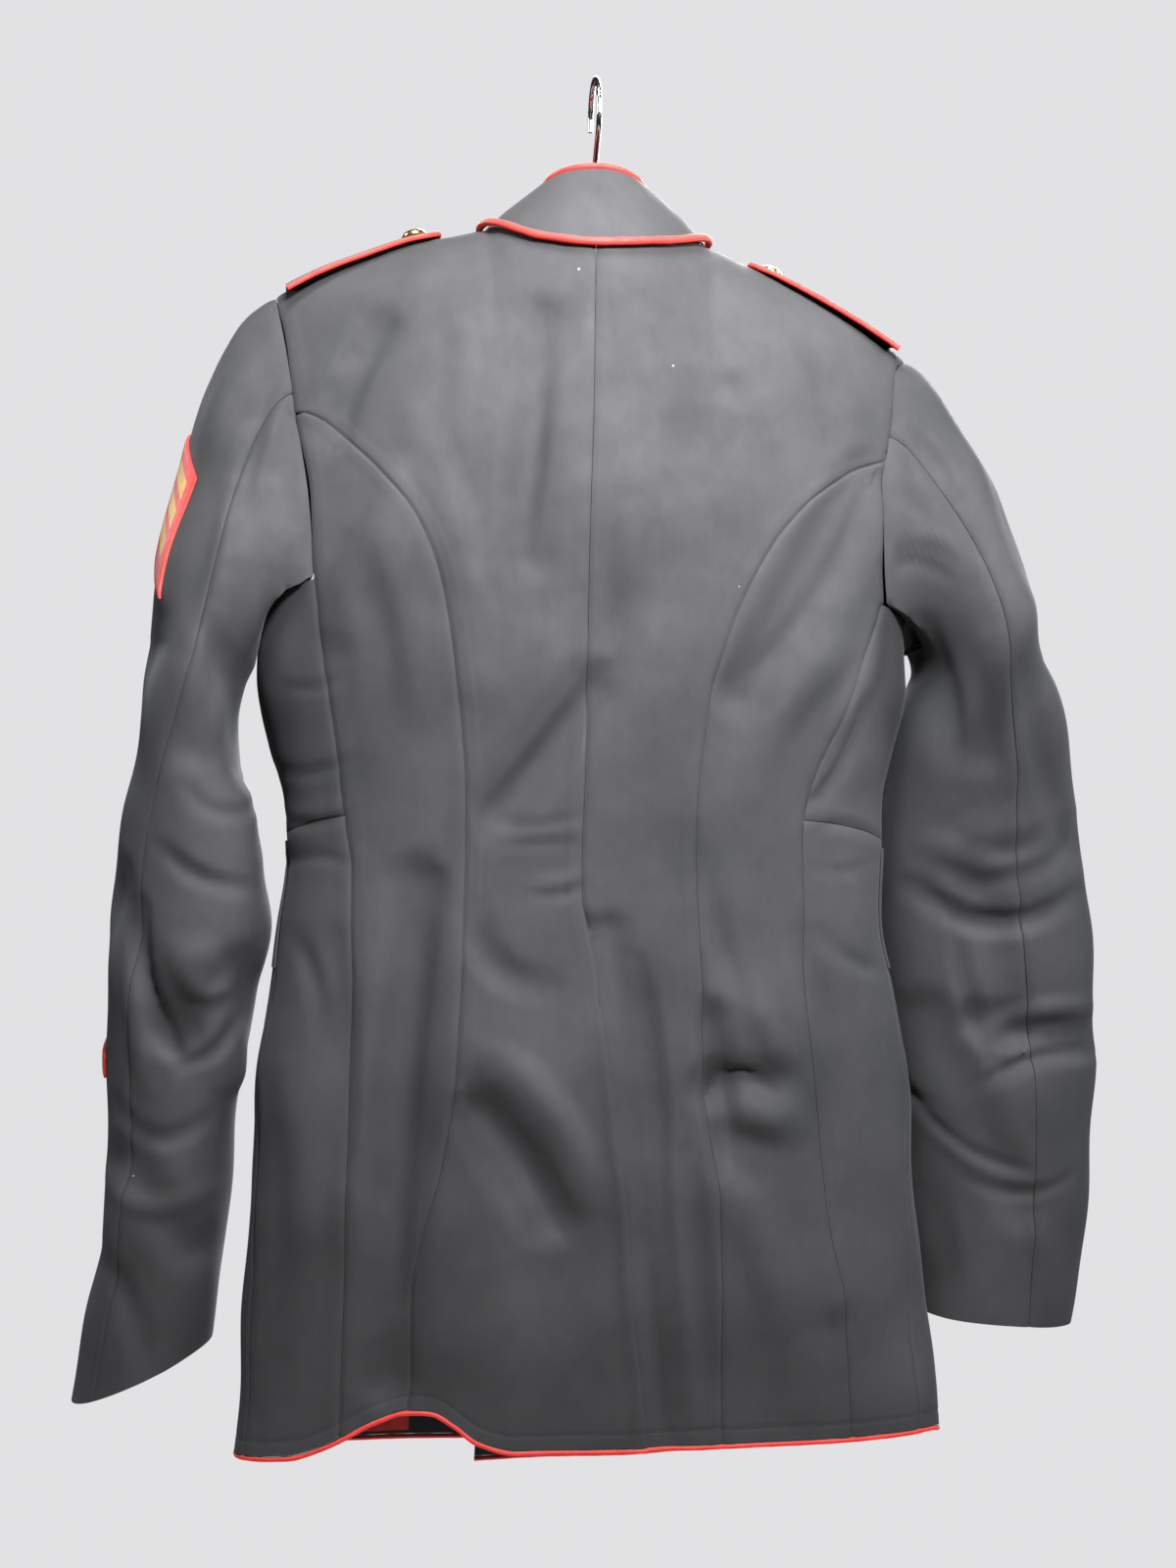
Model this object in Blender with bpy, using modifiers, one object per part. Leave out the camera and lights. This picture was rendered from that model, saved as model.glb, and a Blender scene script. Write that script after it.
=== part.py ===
"""Dress blues coat hanging from a wire hook, closed at the front.

Tables are in millimetres in the row frame: origin inside the top of the hook, +Z up, +Y out of the
coat's back, +X the wearer's left. Objects are built in metres.
"""

import math

import bpy
import numpy as np

MM = 0.001

CLOTH = 2.0
COLLAR_CLOTH = 2.4
FACING_CLOTH = 1.0
PATCH_CLOTH = 1.2
PATCH_GAP = 1.1
FACING_GAP = 1.1
STRAP_CLOTH = 2.6
SEAM_GAP = 0.36
LAP_DROP = 3.3

UNDERARM_LEFT = -299.0
UNDERARM_RIGHT = -309.0
UNDERARM_SCOOP = 16.0
NECK_CENTRE = 0.4
NECK_HALF_WIDTH = 65.6
NECK_BACK = 62.0
NECK_FRONT = 74.0
NECK_FRONT_DROP = 44.0
NECK_POWER = 2.2
SHOULDER_ROUND = 0.46
SHOULDER_TIP = 190.0
SHOULDER_REACH = 200.0

# Half sections of the body by height: edge on the wearer's left and right, depth behind and in front.
BODY_SECTIONS = {
    "z": (-305, -360, -400, -432, -465, -503, -540, -595, -650, -700, -745, -790, -840),
    "left": (201, 199, 192, 185, 185, 188, 193, 200, 204, 207.5, 210, 213, 217),
    "right": (-188, -188, -180, -174, -173, -175, -180, -188.5, -194, -199, -203, -208, -212),
    "back": (80, 77, 73, 70, 69, 69, 70, 70, 69, 67, 65, 63, 61),
    "front": (82, 78, 73, 70, 69, 69, 69, 69, 68, 68, 67, 66, 65),
}
BODY_POWER = 2.4

# Height of the shoulder line across the coat; the wearer's left shoulder hangs higher.
SHOULDER_LINE = {
    "x": (-200, -190, -181, -169, -145, -116, -87, -66, 66, 88, 110, 139, 162, 180, 190, 200),
    "z": (-172, -164, -157, -149, -135, -120, -107, -99, -92, -96, -100, -110, -119, -128, -134, -140),
}
NECKLINE_BACK = {"x": (-66, -33, 7, 36, 66), "z": (-99, -108, -111, -107, -92)}

# Armhole edge by drop below the shoulder line, 0 at the line and 1 at the underarm.
ARMHOLE = {
    "drop": (0, 0.1, 0.22, 0.34, 0.45, 0.58, 0.72, 0.86, 1.0),
    "back_left": (190, 187, 183.5, 180.5, 178, 174.5, 171, 169, 168),
    "back_right": (-190, -180, -175.5, -173, -169.5, -167, -166, -166.5, -168.5),
    "front_left": (190, 181, 173, 166, 160, 157, 157, 162, 172),
    "front_right": (-190, -178, -170, -163, -157, -154, -154, -159, -168),
}

# Seams on the back half, as distance from the middle by height.
CENTRE_TOP_X = 6.9
CENTRE_SEAM = {"z": (-110, -204, -276, -409, -470, -491), "x": (6.9, 9.8, 12.6, 14.2, 15.9, 15.4)}
VENT_EDGE = {
    "z": (-491, -521, -558, -591, -624, -667, -730, -781, -800),
    "x": (15.4, 8.8, 3.7, -0.3, -4.2, -10.5, -15, -20.7, -22.6),
}
VENT_TOP = -491.0
VENT_SUNK = -503.0
VENT_LAPPED = -516.0
VENT_LAP_EDGE = 27.0
VENT_CLEAR = 4.0
VENT_LAP_REACH = 32.0
VENT_LAP_SLOPE = 24.0
PRINCESS_LEFT = {
    "z": (-206, -210, -221, -236, -263, -305, -361, -433, -499, -588, -643, -682, -715, -800),
    "x": (177.5, 168, 154, 137, 113, 96.6, 87.7, 82, 83.3, 87.7, 96.6, 107.7, 115, 116),
}
PRINCESS_RIGHT = {
    "z": (-230, -238, -259, -292, -336, -384, -446, -508, -578, -658, -709, -800),
    "x": (-168.5, -149, -116, -89, -68, -56.5, -50.8, -52, -58, -64, -66, -67),
}
SIDE_BACK_LEFT = {
    "z": (-300, -336, -385, -443, -470, -518, -603, -680, -757, -810),
    "x": (168, 164.3, 158.2, 149.8, 146.5, 146.5, 149.3, 150.4, 152.6, 154),
}
SIDE_BACK_RIGHT = {
    "z": (-310, -326, -341, -381, -427, -454, -524, -560, -612, -689, -740, -797, -810),
    "x": (-168.5, -161.6, -154, -138.7, -120, -116, -116.4, -118, -124, -133, -141, -146, -147),
}

# Front side seam as an angle round the body, 90 straight out to the side.
SIDE_FRONT = {
    "z": (-300, -400, -450, -510, -566, -620, -694, -786, -810),
    "left": (104, 93, 87, 84, 82, 81, 78, 75, 75),
    "right": (-104, -90, -80, -79, -79, -73, -68, -63.5, -63),
}
FRONT_EDGE_LEFT = 184.2
FRONT_EDGE_RIGHT = {"row": (-1, -0.4, 1), "angle": (-186, -189, -194.2)}
FRONT_LAP_FULL = -174.5
FRONT_LAP_STARTS = -167.0

# Hem height by angle round the body, 0 at the back and 180 at the front.
HEM = {
    "angle": (-210, -180, -150, -120, -90, -65, -45, -20, -3, 5, 10, 16, 20, 24, 29, 34,
              45, 55, 90, 120, 150, 180, 210),
    "z": (-838, -838, -835, -823, -812, -805, -805, -803, -803, -803, -803, -797, -787, -780, -779, -784,
          -799, -807, -813, -817, -822, -826, -826),
}

# Large soft folds on the back: the ends of each line, its half width, and its depth, troughs below zero.
BODY_FOLDS = {
    "x0": (-153, 37, 133, 14, -58, 112, 75, -64, 150, -100),
    "z0": (-240, -160, -160, -367, -596, -480, -610, -560, -330, -612),
    "x1": (-78, 49, 156, 62, -98, 126, 36, -76, 120, -128),
    "z1": (-367, -290, -215, -436, -592, -760, -668, -645, -250, -720),
    "half_width": (24, 24, 22, 24, 20, 26, 24, 20, 22, 24),
    "depth": (-6, -3.5, -3, -4, -4, -6, -5, -4, 3.5, 4),
}

# Sleeves by height: outer and inner edge, middle from back to front, and half depth.
SLEEVE_LEFT = {
    "z": (-340, -363, -410, -437, -470, -503, -545, -590, -646, -690, -736, -795),
    "outer": (261, 266, 273, 278, 282.5, 287, 288.5, 287.5, 289, 294, 303, 312),
    "inner": (207, 212, 213, 206, 197, 192, 201, 209, 216, 220, 225, 229),
    "middle": (-2, -2, -4, -5, -6, -8, -12, -17, -24, -30, -35, -40),
    "half_depth": (72, 71, 67, 65, 62, 60, 58, 56, 54, 52, 50, 48),
}
SLEEVE_RIGHT = {
    "z": (-345, -378, -410, -440, -475, -513, -550, -589, -640, -690, -735, -765),
    "outer": (-275, -289, -297, -303, -308.5, -314, -317, -320, -318, -314, -309, -304),
    "inner": (-200, -192, -184, -179, -179, -182, -188, -194, -199, -204, -209, -211),
    "middle": (-4, -10, -14, -19, -23, -26, -28, -30, -33, -36, -38, -39),
    "half_depth": (70, 62, 54, 48, 45, 43, 41, 40, 41, 42, 42, 41),
}
SLEEVE_POWER = 2.1
CAP_END = {"left_outer": -335, "left_inner": -352, "right_outer": -342, "right_inner": -360}
CUFF = {"left_outer": -790, "left_inner": -751, "right_outer": -758, "right_inner": -749}

# Sleeve seams as an angle round the sleeve, 0 outward, 90 at the back, by height.
SLEEVE_BACK_SEAM = {
    "left_z": (-200, -340, -357, -417, -472, -800),
    "left": (58, 92, 90, 66, 53, 50),
    "right_z": (-230, -345, -363, -398, -421, -800),
    "right": (62, 91, 89, 84, 82, 78),
}
SLEEVE_FRONT_SEAM = -112.0
SLEEVE_FOLDS_LEFT = {
    "x0": (286, 250, 232, 262, 275),
    "z0": (-478, -560, -520, -330, -640),
    "x1": (250, 212, 215, 240, 240),
    "z1": (-560, -530, -590, -400, -690),
    "half_width": (22, 22, 18, 22, 22),
    "depth": (-5, -5, 4, -4, -4),
}
SLEEVE_FOLDS_RIGHT = {
    "x0": (-228, -235, -232, -205, -270),
    "z0": (-472, -566, -490, -560, -330),
    "x1": (-300, -310, -256, -262, -230),
    "z1": (-456, -578, -566, -680, -400),
    "half_width": (22, 20, 22, 22, 24),
    "depth": (-5, -5, -5, -4, -4),
}

COLLAR_TOP_HALF_WIDTH = 33.4
COLLAR_TOP_CENTRE = 1.7
COLLAR_TOP_BACK = 46.0
COLLAR_TOP_FRONT = 87.0
COLLAR_TOP_POWER = 2.4
COLLAR_TOP_Z = {"angle": (-180, -120, -60, 0, 60, 120, 180), "z": (-96, -80, -69, -63, -65, -77, -96)}
COLLAR_GAP_ANGLE = 179.4
COLLAR_BULGE = 2.0

WELT_RADIUS = 2.3
WELT_CLEAR_FRONT = 2.6
WELT_CLEAR_BACK = 1.6
TOP_PIPING_RADIUS = 1.9
HEM_PIPING_RADIUS = 1.5
STRAP_PIPING_RADIUS = 1.6

STRAP_LEFT = {"x": (96, 104, 122, 146, 168, 184), "front": (-14, -22, -25, -26, -27, -28),
              "back": (8, 16, 19, 20, 21, 22)}
STRAP_RIGHT = {"x": (-96, -104, -122, -146, -168, -182), "front": (-14, -22, -25, -26, -27, -28),
               "back": (8, 16, 19, 20, 21, 22)}
STRAP_CROWN = 6.5
STRAP_HALF_WIDTH = 25.0
STRAP_GAP = 1.3

BUTTON_RADIUS = 12.5
BUTTON_HEIGHT = 6.5
BUTTON_STEPS = 12
BUTTON_PROFILE = ((0, 1), (0.45, 0.93), (0.8, 0.66), (1, 0.34), (0.96, 0.08), (0.8, 0), (0, 0))
FRONT_BUTTON_COUNT = 7
FRONT_BUTTON_TOP = -172.0
FRONT_BUTTON_STEP = 49.0
FRONT_BUTTON_ANGLE = 180.0
FRONT_BUTTON_GAP = 0.6
STRAP_BUTTON_RADIUS = 7.5
STRAP_BUTTON_HEIGHT = 4.5
STRAP_BUTTON_X = 108.0
STRAP_BUTTON_Y = -3.0

HOOK_WIRE_RADIUS = 1.6
HOOK_BEND_RADIUS = 20.0
HOOK_START = -25.0
HOOK_SWEEP = 216.0
HOOK_STEPS = 12
HOOK_STEM = ((0, 0, -58), (0, 2, -51), (0, 8, -43), (0, 15, -36))
HANGER_THICKNESS = 14.0
HANGER_HEIGHT = 24.0
HANGER_END = 160.0
HANGER_SINK = 1.1
HANGER_MIDDLE = 72.0
HANGER_CROWN = 5.0
HANGER_SECTIONS = 19
HANGER_SIDES = 10

# Rows of the body's grid, -1 at the top edge, 0 at the underarm, 1 at the hem.
UPPER_ROWS = (-1.0, -0.985, -0.94, -0.86, -0.76, -0.65, -0.55, -0.42, -0.28, -0.14)
LOWER_ROWS = (0.0, 0.055, 0.11, 0.165, 0.22, 0.27, 0.322, 0.378, 0.403, 0.43, 0.48, 0.53, 0.585, 0.64,
              0.695, 0.75, 0.8, 0.85, 0.9, 0.95, 1.0)
PRINCESS_ROW = 6
WAIST_ROW = 5

# Columns of the grids, as shares of the neckline, the shoulder, or a panel's width.
NECK_COLUMNS = (0.0, 0.38, 0.64, 0.82, 0.94, 1.0)
SHOULDER_COLUMNS = (0.27, 0.52, 0.77, 1.0)
FRONT_NECK_COLUMNS = (0.01, 0.36, 0.64, 0.82, 0.94, 1.0)
FRONT_SHOULDER_COLUMNS = (0.27, 0.52, 0.76, 0.91, 1.0)
SIDE_BACK_COLUMNS = (0, 0.34, 0.67, 1)
SIDE_COLUMNS = (0, 0.25, 0.5, 0.75, 1)

# Runs down a sleeve's grid: 0 at the armhole, 1 below the cap, 2 at the cuff.
CAP_RUNS = (0.0, 0.2, 0.42, 0.66, 1.0)
TUBE_RUNS = (1.055, 1.11, 1.17, 1.23, 1.29, 1.35, 1.41, 1.47, 1.53, 1.6, 1.67, 1.75, 1.83, 1.915, 2.0)

# What is sewn on a sleeve: the middle column's turn, and each column's height above the first.
PATCH_STEP = 12
RANK_PATCH = {"left_turn": -2, "right_turn": -36, "left_top": -245, "right_top": -259, "tall": 70,
              "rise": (0, 10, 20, 30, 20, 10, 0)}
SERVICE_STRIPE = {"left_turn": -26, "right_turn": -66, "left_top": -549, "right_top": -563, "tall": 13,
                  "rise": (0, -5, -10, -16, -21, -27, -32)}

# Facing of the left front and the pocket slits' welts, by row and angle.
FACING_ROWS = (0.9, 0.95, 0.995)
FACING_ANGLES = (133.0, 140.0, 147.0, 154.0)
WELT_ROWS = (0.28, 0.33, 0.38, 0.43)
WELT_STEPS = (0.8, 3.0, 5.2)
WELT_CLOTH = 1.2
WELT_GAP = 0.3


def smooth_value(xs, ys, at):
    """Monotone cubic through a table, held level past both ends."""
    order = sorted(range(len(xs)), key=lambda k: xs[k])
    px = [float(xs[k]) for k in order]
    py = [float(ys[k]) for k in order]
    if at <= px[0]:
        return py[0]
    if at >= px[-1]:
        return py[-1]
    slopes = [(py[k + 1] - py[k]) / (px[k + 1] - px[k]) for k in range(len(px) - 1)]
    tangents = [slopes[0]]
    for before, after in zip(slopes, slopes[1:]):
        both = before * after
        tangents.append(0.0 if both <= 0 else 2 * both / (before + after))
    tangents.append(slopes[-1])
    k = max(i for i in range(len(px) - 1) if px[i] <= at)
    width = px[k + 1] - px[k]
    t = (at - px[k]) / width
    start = py[k] * (1 + 2 * t) * (1 - t) ** 2 + width * tangents[k] * t * (1 - t) ** 2
    end = py[k + 1] * t * t * (3 - 2 * t) - width * tangents[k + 1] * t * t * (1 - t)
    return start + end


def table(data, key, column, at):
    return smooth_value(data[key], data[column], at)


def smoothstep(t):
    t = min(1.0, max(0.0, t))
    return t * t * (3 - 2 * t)


def signed_power(value, power):
    return math.copysign(abs(value) ** power, value)


def fold_height(folds, x, z):
    total = 0.0
    for k in range(len(folds["x0"])):
        ax, az = folds["x0"][k], folds["z0"][k]
        dx, dz = folds["x1"][k] - ax, folds["z1"][k] - az
        length = dx * dx + dz * dz
        along = ((x - ax) * dx + (z - az) * dz) / length
        near = min(1.0, max(0.0, along))
        away = math.hypot(x - ax - near * dx, z - az - near * dz)
        reach = folds["half_width"][k]
        if away < reach:
            total += folds["depth"][k] * 0.5 * (1 + math.cos(math.pi * away / reach))
    return total


def neck_depth(x):
    """How far behind or before the shoulder line the neckline lies at x."""
    across = min(1.0, abs(x - NECK_CENTRE) / NECK_HALF_WIDTH)
    return max(0.0, 1 - across ** NECK_POWER) ** (1 / NECK_POWER)


def top_line(x, behind):
    """(y, z) of the body's top edge at x: the shoulder line, or the neckline between its ends."""
    if abs(x - NECK_CENTRE) >= NECK_HALF_WIDTH:
        return 0.0, table(SHOULDER_LINE, "x", "z", x)
    depth = neck_depth(x)
    if behind:
        return NECK_BACK * depth, table(NECKLINE_BACK, "x", "z", x)
    right, left = NECKLINE_BACK["z"][0], NECKLINE_BACK["z"][-1]
    side = 0.5 * (left + right) + 0.5 * (left - right) * (x - NECK_CENTRE) / NECK_HALF_WIDTH
    return -NECK_FRONT * depth, side - NECK_FRONT_DROP * depth ** 1.6


def underarm_height(angle):
    side = math.sin(math.radians(angle))
    level = 0.5 * (UNDERARM_LEFT + UNDERARM_RIGHT) + 0.5 * (UNDERARM_LEFT - UNDERARM_RIGHT) * side
    return level - UNDERARM_SCOOP * side ** 6


def lap_depth(angle, x, z):
    """How far a lapped-under edge lies beneath the face of the cloth over it."""
    if angle < FRONT_LAP_STARTS:
        return LAP_DROP * smoothstep((FRONT_LAP_STARTS - angle) / (FRONT_LAP_STARTS - FRONT_LAP_FULL))
    if z < VENT_TOP and -60 < angle < 40:
        past_edge = x - table(VENT_EDGE, "z", "x", z) + VENT_LAP_REACH
        sunk = smoothstep((VENT_TOP - z) / (VENT_TOP - VENT_SUNK))
        return LAP_DROP * sunk * smoothstep(past_edge / VENT_LAP_SLOPE)
    return 0.0


def body_base(angle, row):
    """Outer face of the body at an angle round it: row -1 is its top edge, 0 the underarm, 1 the hem."""
    turn = math.radians(angle)
    across = signed_power(math.sin(turn), 2 / BODY_POWER)
    deep = abs(math.cos(turn)) ** (2 / BODY_POWER)
    behind = math.cos(turn) >= 0
    start = underarm_height(angle)
    if row >= 0:
        z = start + (table(HEM, "angle", "z", angle) - start) * row
    else:
        z = BODY_SECTIONS["z"][0]
    left = table(BODY_SECTIONS, "z", "left", z)
    right = table(BODY_SECTIONS, "z", "right", z)
    depth = table(BODY_SECTIONS, "z", "back" if behind else "front", z)
    y = depth * deep if behind else -depth * deep
    if row >= 0:
        return 0.5 * (left + right) + 0.5 * (left - right) * across, y, z
    drop = 1 + row
    left = SHOULDER_REACH + (left - SHOULDER_REACH) * drop
    right = -SHOULDER_REACH + (right + SHOULDER_REACH) * drop
    x = 0.5 * (left + right) + 0.5 * (left - right) * across
    top_y, top_z = top_line(x, behind)
    roundness = SHOULDER_ROUND + (1 - SHOULDER_ROUND) * neck_depth(x)
    out = (1 - (1 - drop) ** 2) ** roundness
    return x, top_y + (y - top_y) * out, top_z + (start - top_z) * drop


def body_point(angle, row, under=False):
    x, y, z = body_base(angle, row)
    turn = math.radians(angle)
    push = 0.0
    if math.cos(turn) > 0:
        push = fold_height(BODY_FOLDS, x, z) * smoothstep(math.cos(turn) * 3) * smoothstep((row + 1) * 8)
    if under:
        push -= lap_depth(angle, x, z)
    return np.array([x + push * math.sin(turn), y + push * math.cos(turn), z])


def surface_normal(point_at, first, second, steps, facing):
    """Unit normal of a two-parameter surface, turned to the side that facing gives."""
    along = point_at(first + steps[0], second) - point_at(first - steps[0], second)
    down = point_at(first, second + steps[1]) - point_at(first, second - steps[1])
    normal = np.cross(along, down)
    normal = normal / np.linalg.norm(normal)
    return normal if normal @ facing > 0 else -normal


def body_normal(angle, row, under=False):
    turn = math.radians(angle)
    facing = np.array([math.sin(turn), math.cos(turn), 0.6 if row < -0.8 else 0.0])
    at = max(row, -0.996)
    if abs(at) < 0.003:
        at = 0.004

    def near(a, r):
        return body_point(a, r, under)

    normal = surface_normal(near, angle, at, (0.2, 0.003), facing)
    if row < -0.99 and abs(body_base(angle, row)[0] - NECK_CENTRE) > NECK_HALF_WIDTH - 0.5:
        normal[1] = 0.0
        normal = normal / np.linalg.norm(normal)
    return normal


def angle_at_x(row, side, wanted, low=0.0, high=90.0):
    """The angle between low and high, on that side, where the body's outline is wanted(z) from the middle."""
    for _ in range(40):
        middle = 0.5 * (low + high)
        x, _, z = body_base(side * middle, row)
        inside = side * x < side * wanted(z)
        if (high > low) == inside:
            low, high = (middle, high) if high > low else (low, middle)
        else:
            low, high = (low, middle) if high > low else (middle, high)
    return side * 0.5 * (low + high)


def seam_angle(name, row):
    if name == "centre":
        return angle_at_x(row, 1, lambda z: table(CENTRE_SEAM, "z", "x", z))
    if name == "vent":
        z = body_base(0, row)[2]
        side = 1 if table(VENT_EDGE, "z", "x", z) > 5 else -1
        return angle_at_x(row, side, lambda height: table(VENT_EDGE, "z", "x", height))
    side = 1 if name.endswith("left") else -1
    hand = "left" if side > 0 else "right"
    if name.startswith("princess"):
        data = PRINCESS_LEFT if side > 0 else PRINCESS_RIGHT
        return angle_at_x(row, side, lambda z: table(data, "z", "x", z))
    if name.startswith("side_back"):
        data = SIDE_BACK_LEFT if side > 0 else SIDE_BACK_RIGHT
        return angle_at_x(row, side, lambda z: table(data, "z", "x", z))
    if name.startswith("armhole_back"):
        wanted = table(ARMHOLE, "drop", "back_" + hand, row + 1)
        return angle_at_x(row, side, lambda z: wanted)
    if name.startswith("armhole_front"):
        wanted = table(ARMHOLE, "drop", "front_" + hand, row + 1)
        return angle_at_x(row, side, lambda z: wanted, 180.0, 90.0)
    z = body_base(side * 85, row)[2]
    return table(SIDE_FRONT, "z", hand, z)


def grid_faces(rows, columns, closed):
    """Quads of a grid of points, row after row, wrapped round when closed."""
    faces = []
    last = columns if closed else columns - 1
    for i in range(rows - 1):
        for j in range(last):
            k = (j + 1) % columns
            faces.append((i * columns + j, i * columns + k, (i + 1) * columns + k, (i + 1) * columns + j))
    return faces


def add_object(name, points, faces, material, collection):
    """One closed mesh from points in millimetres, its faces turned outward."""
    points = np.asarray(points, float)
    volume = 0.0
    for face in faces:
        corner = points[face[0]]
        for second, third in zip(face[1:], face[2:]):
            volume += corner @ np.cross(points[second], points[third])
    if volume < 0:
        faces = [tuple(reversed(face)) for face in faces]
    mesh = bpy.data.meshes.new(name)
    mesh.from_pydata([tuple(p * MM) for p in points], [], faces)
    mesh.materials.append(material)
    collection.objects.link(bpy.data.objects.new(name, mesh))


def add_shell(name, outer, normals, thickness, material, collection):
    """Cloth of one thickness whose outer face is a grid of points."""
    outer = np.asarray(outer, float)
    rows, columns = outer.shape[:2]
    inner = outer - thickness * np.asarray(normals, float)
    points = np.concatenate([outer.reshape(-1, 3), inner.reshape(-1, 3)])
    shift = rows * columns
    front = grid_faces(rows, columns, False)
    faces = list(front) + [tuple(shift + k for k in reversed(face)) for face in front]
    for i, turned in ((0, True), (rows - 1, False)):
        for j in range(columns - 1):
            a, b = i * columns + j, i * columns + j + 1
            rim = (a, b, b + shift, a + shift)
            faces.append(tuple(reversed(rim)) if turned else rim)
    for j, turned in ((0, False), (columns - 1, True)):
        for i in range(rows - 1):
            a, b = i * columns + j, (i + 1) * columns + j
            rim = (a, b, b + shift, a + shift)
            faces.append(tuple(reversed(rim)) if turned else rim)
    add_object(name, points, faces, material, collection)


def draw_in(points, gap, sides):
    """Moves the named edges of a grid inward, so that neighbours stay a seam apart."""
    moved = np.array(points, float)
    edges = {"left": (np.s_[:, 0], np.s_[:, 1]), "right": (np.s_[:, -1], np.s_[:, -2]),
             "top": (np.s_[0], np.s_[1]), "bottom": (np.s_[-1], np.s_[-2])}
    for side in sides:
        edge, inside = edges[side]
        step = points[inside] - points[edge]
        length = np.maximum(np.linalg.norm(step, axis=-1, keepdims=True), 1e-6)
        moved[edge] = moved[edge] + step / length * np.minimum(gap, 0.4 * length)
    return moved


def add_cord(name, points, radius, material, collection, resolution=1):
    """Round cord or wire along a line of points."""
    curve = bpy.data.curves.new(name, "CURVE")
    curve.dimensions = "3D"
    curve.bevel_depth = radius * MM
    curve.bevel_resolution = resolution
    curve.use_fill_caps = True
    spline = curve.splines.new("POLY")
    spline.points.add(len(points) - 1)
    for target, point in zip(spline.points, points):
        target.co = (*(np.asarray(point, float) * MM), 1.0)
    curve.materials.append(material)
    collection.objects.link(bpy.data.objects.new(name, curve))


def panel(name, rows, left_edge, right_edge, fractions, sides, material, collection, under=False):
    """Body panel between two seams: each edge gives an angle for a row."""
    outer, normals = [], []
    for row in rows:
        start, end = left_edge(row), right_edge(row)
        angles = [start + (end - start) * f for f in fractions]
        outer.append([body_point(angle, row, under) for angle in angles])
        normals.append([body_normal(angle, row, under) for angle in angles])
    outer = draw_in(np.array(outer), SEAM_GAP / 2, sides)
    add_shell(name, outer, normals, CLOTH, material, collection)
    return middle_of_edge(outer, normals)


def middle_of_edge(outer, normals):
    """Middle of the cloth along the bottom edge of a panel."""
    return [p - n * CLOTH / 2 for p, n in zip(outer[-1], normals[-1])]


def back_columns(side):
    """Angles on the top row of a back panel, from the centre seam to the shoulder tip."""
    neck_x = NECK_CENTRE + side * NECK_HALF_WIDTH
    xs = [CENTRE_TOP_X + (neck_x - CENTRE_TOP_X) * f for f in NECK_COLUMNS]
    xs += [neck_x + (side * SHOULDER_TIP - neck_x) * f for f in SHOULDER_COLUMNS]
    return [angle_at_x(-1.0, 1 if x > 0 else -1, lambda z, x=x: x) for x in xs]


def neck_ring():
    """Points and outward directions of the neckline, from one side of the front gap round to the other."""
    xs_left = [CENTRE_TOP_X + (NECK_CENTRE + NECK_HALF_WIDTH - CENTRE_TOP_X) * f for f in NECK_COLUMNS]
    xs_right = [CENTRE_TOP_X + (NECK_CENTRE - NECK_HALF_WIDTH - CENTRE_TOP_X) * f for f in NECK_COLUMNS]
    front_left = [NECK_CENTRE + NECK_HALF_WIDTH * f for f in FRONT_NECK_COLUMNS]
    front_right = [NECK_CENTRE - NECK_HALF_WIDTH * f for f in FRONT_NECK_COLUMNS]
    ring = [(x, *top_line(x, False)) for x in front_right]
    ring += [(x, *top_line(x, True)) for x in reversed(xs_right)][1:]
    ring += [(x, *top_line(x, True)) for x in xs_left][1:]
    ring += [(x, *top_line(x, False)) for x in reversed(front_left)][1:]
    return np.array(ring)


def front_columns(side):
    """Angles on the top row of a front panel, from the shoulder tip to its front edge."""
    xs = [NECK_CENTRE + side * NECK_HALF_WIDTH * f for f in FRONT_NECK_COLUMNS[1:]]
    neck_x = xs[-1]
    xs += [neck_x + (side * SHOULDER_TIP - neck_x) * f for f in FRONT_SHOULDER_COLUMNS]
    angles = []
    for x in reversed(xs):
        angles.append(angle_at_x(-1.0, side, lambda z, x=x: x, 180.0, 90.0))
    angles.append(side * 180.0)
    return angles


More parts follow.
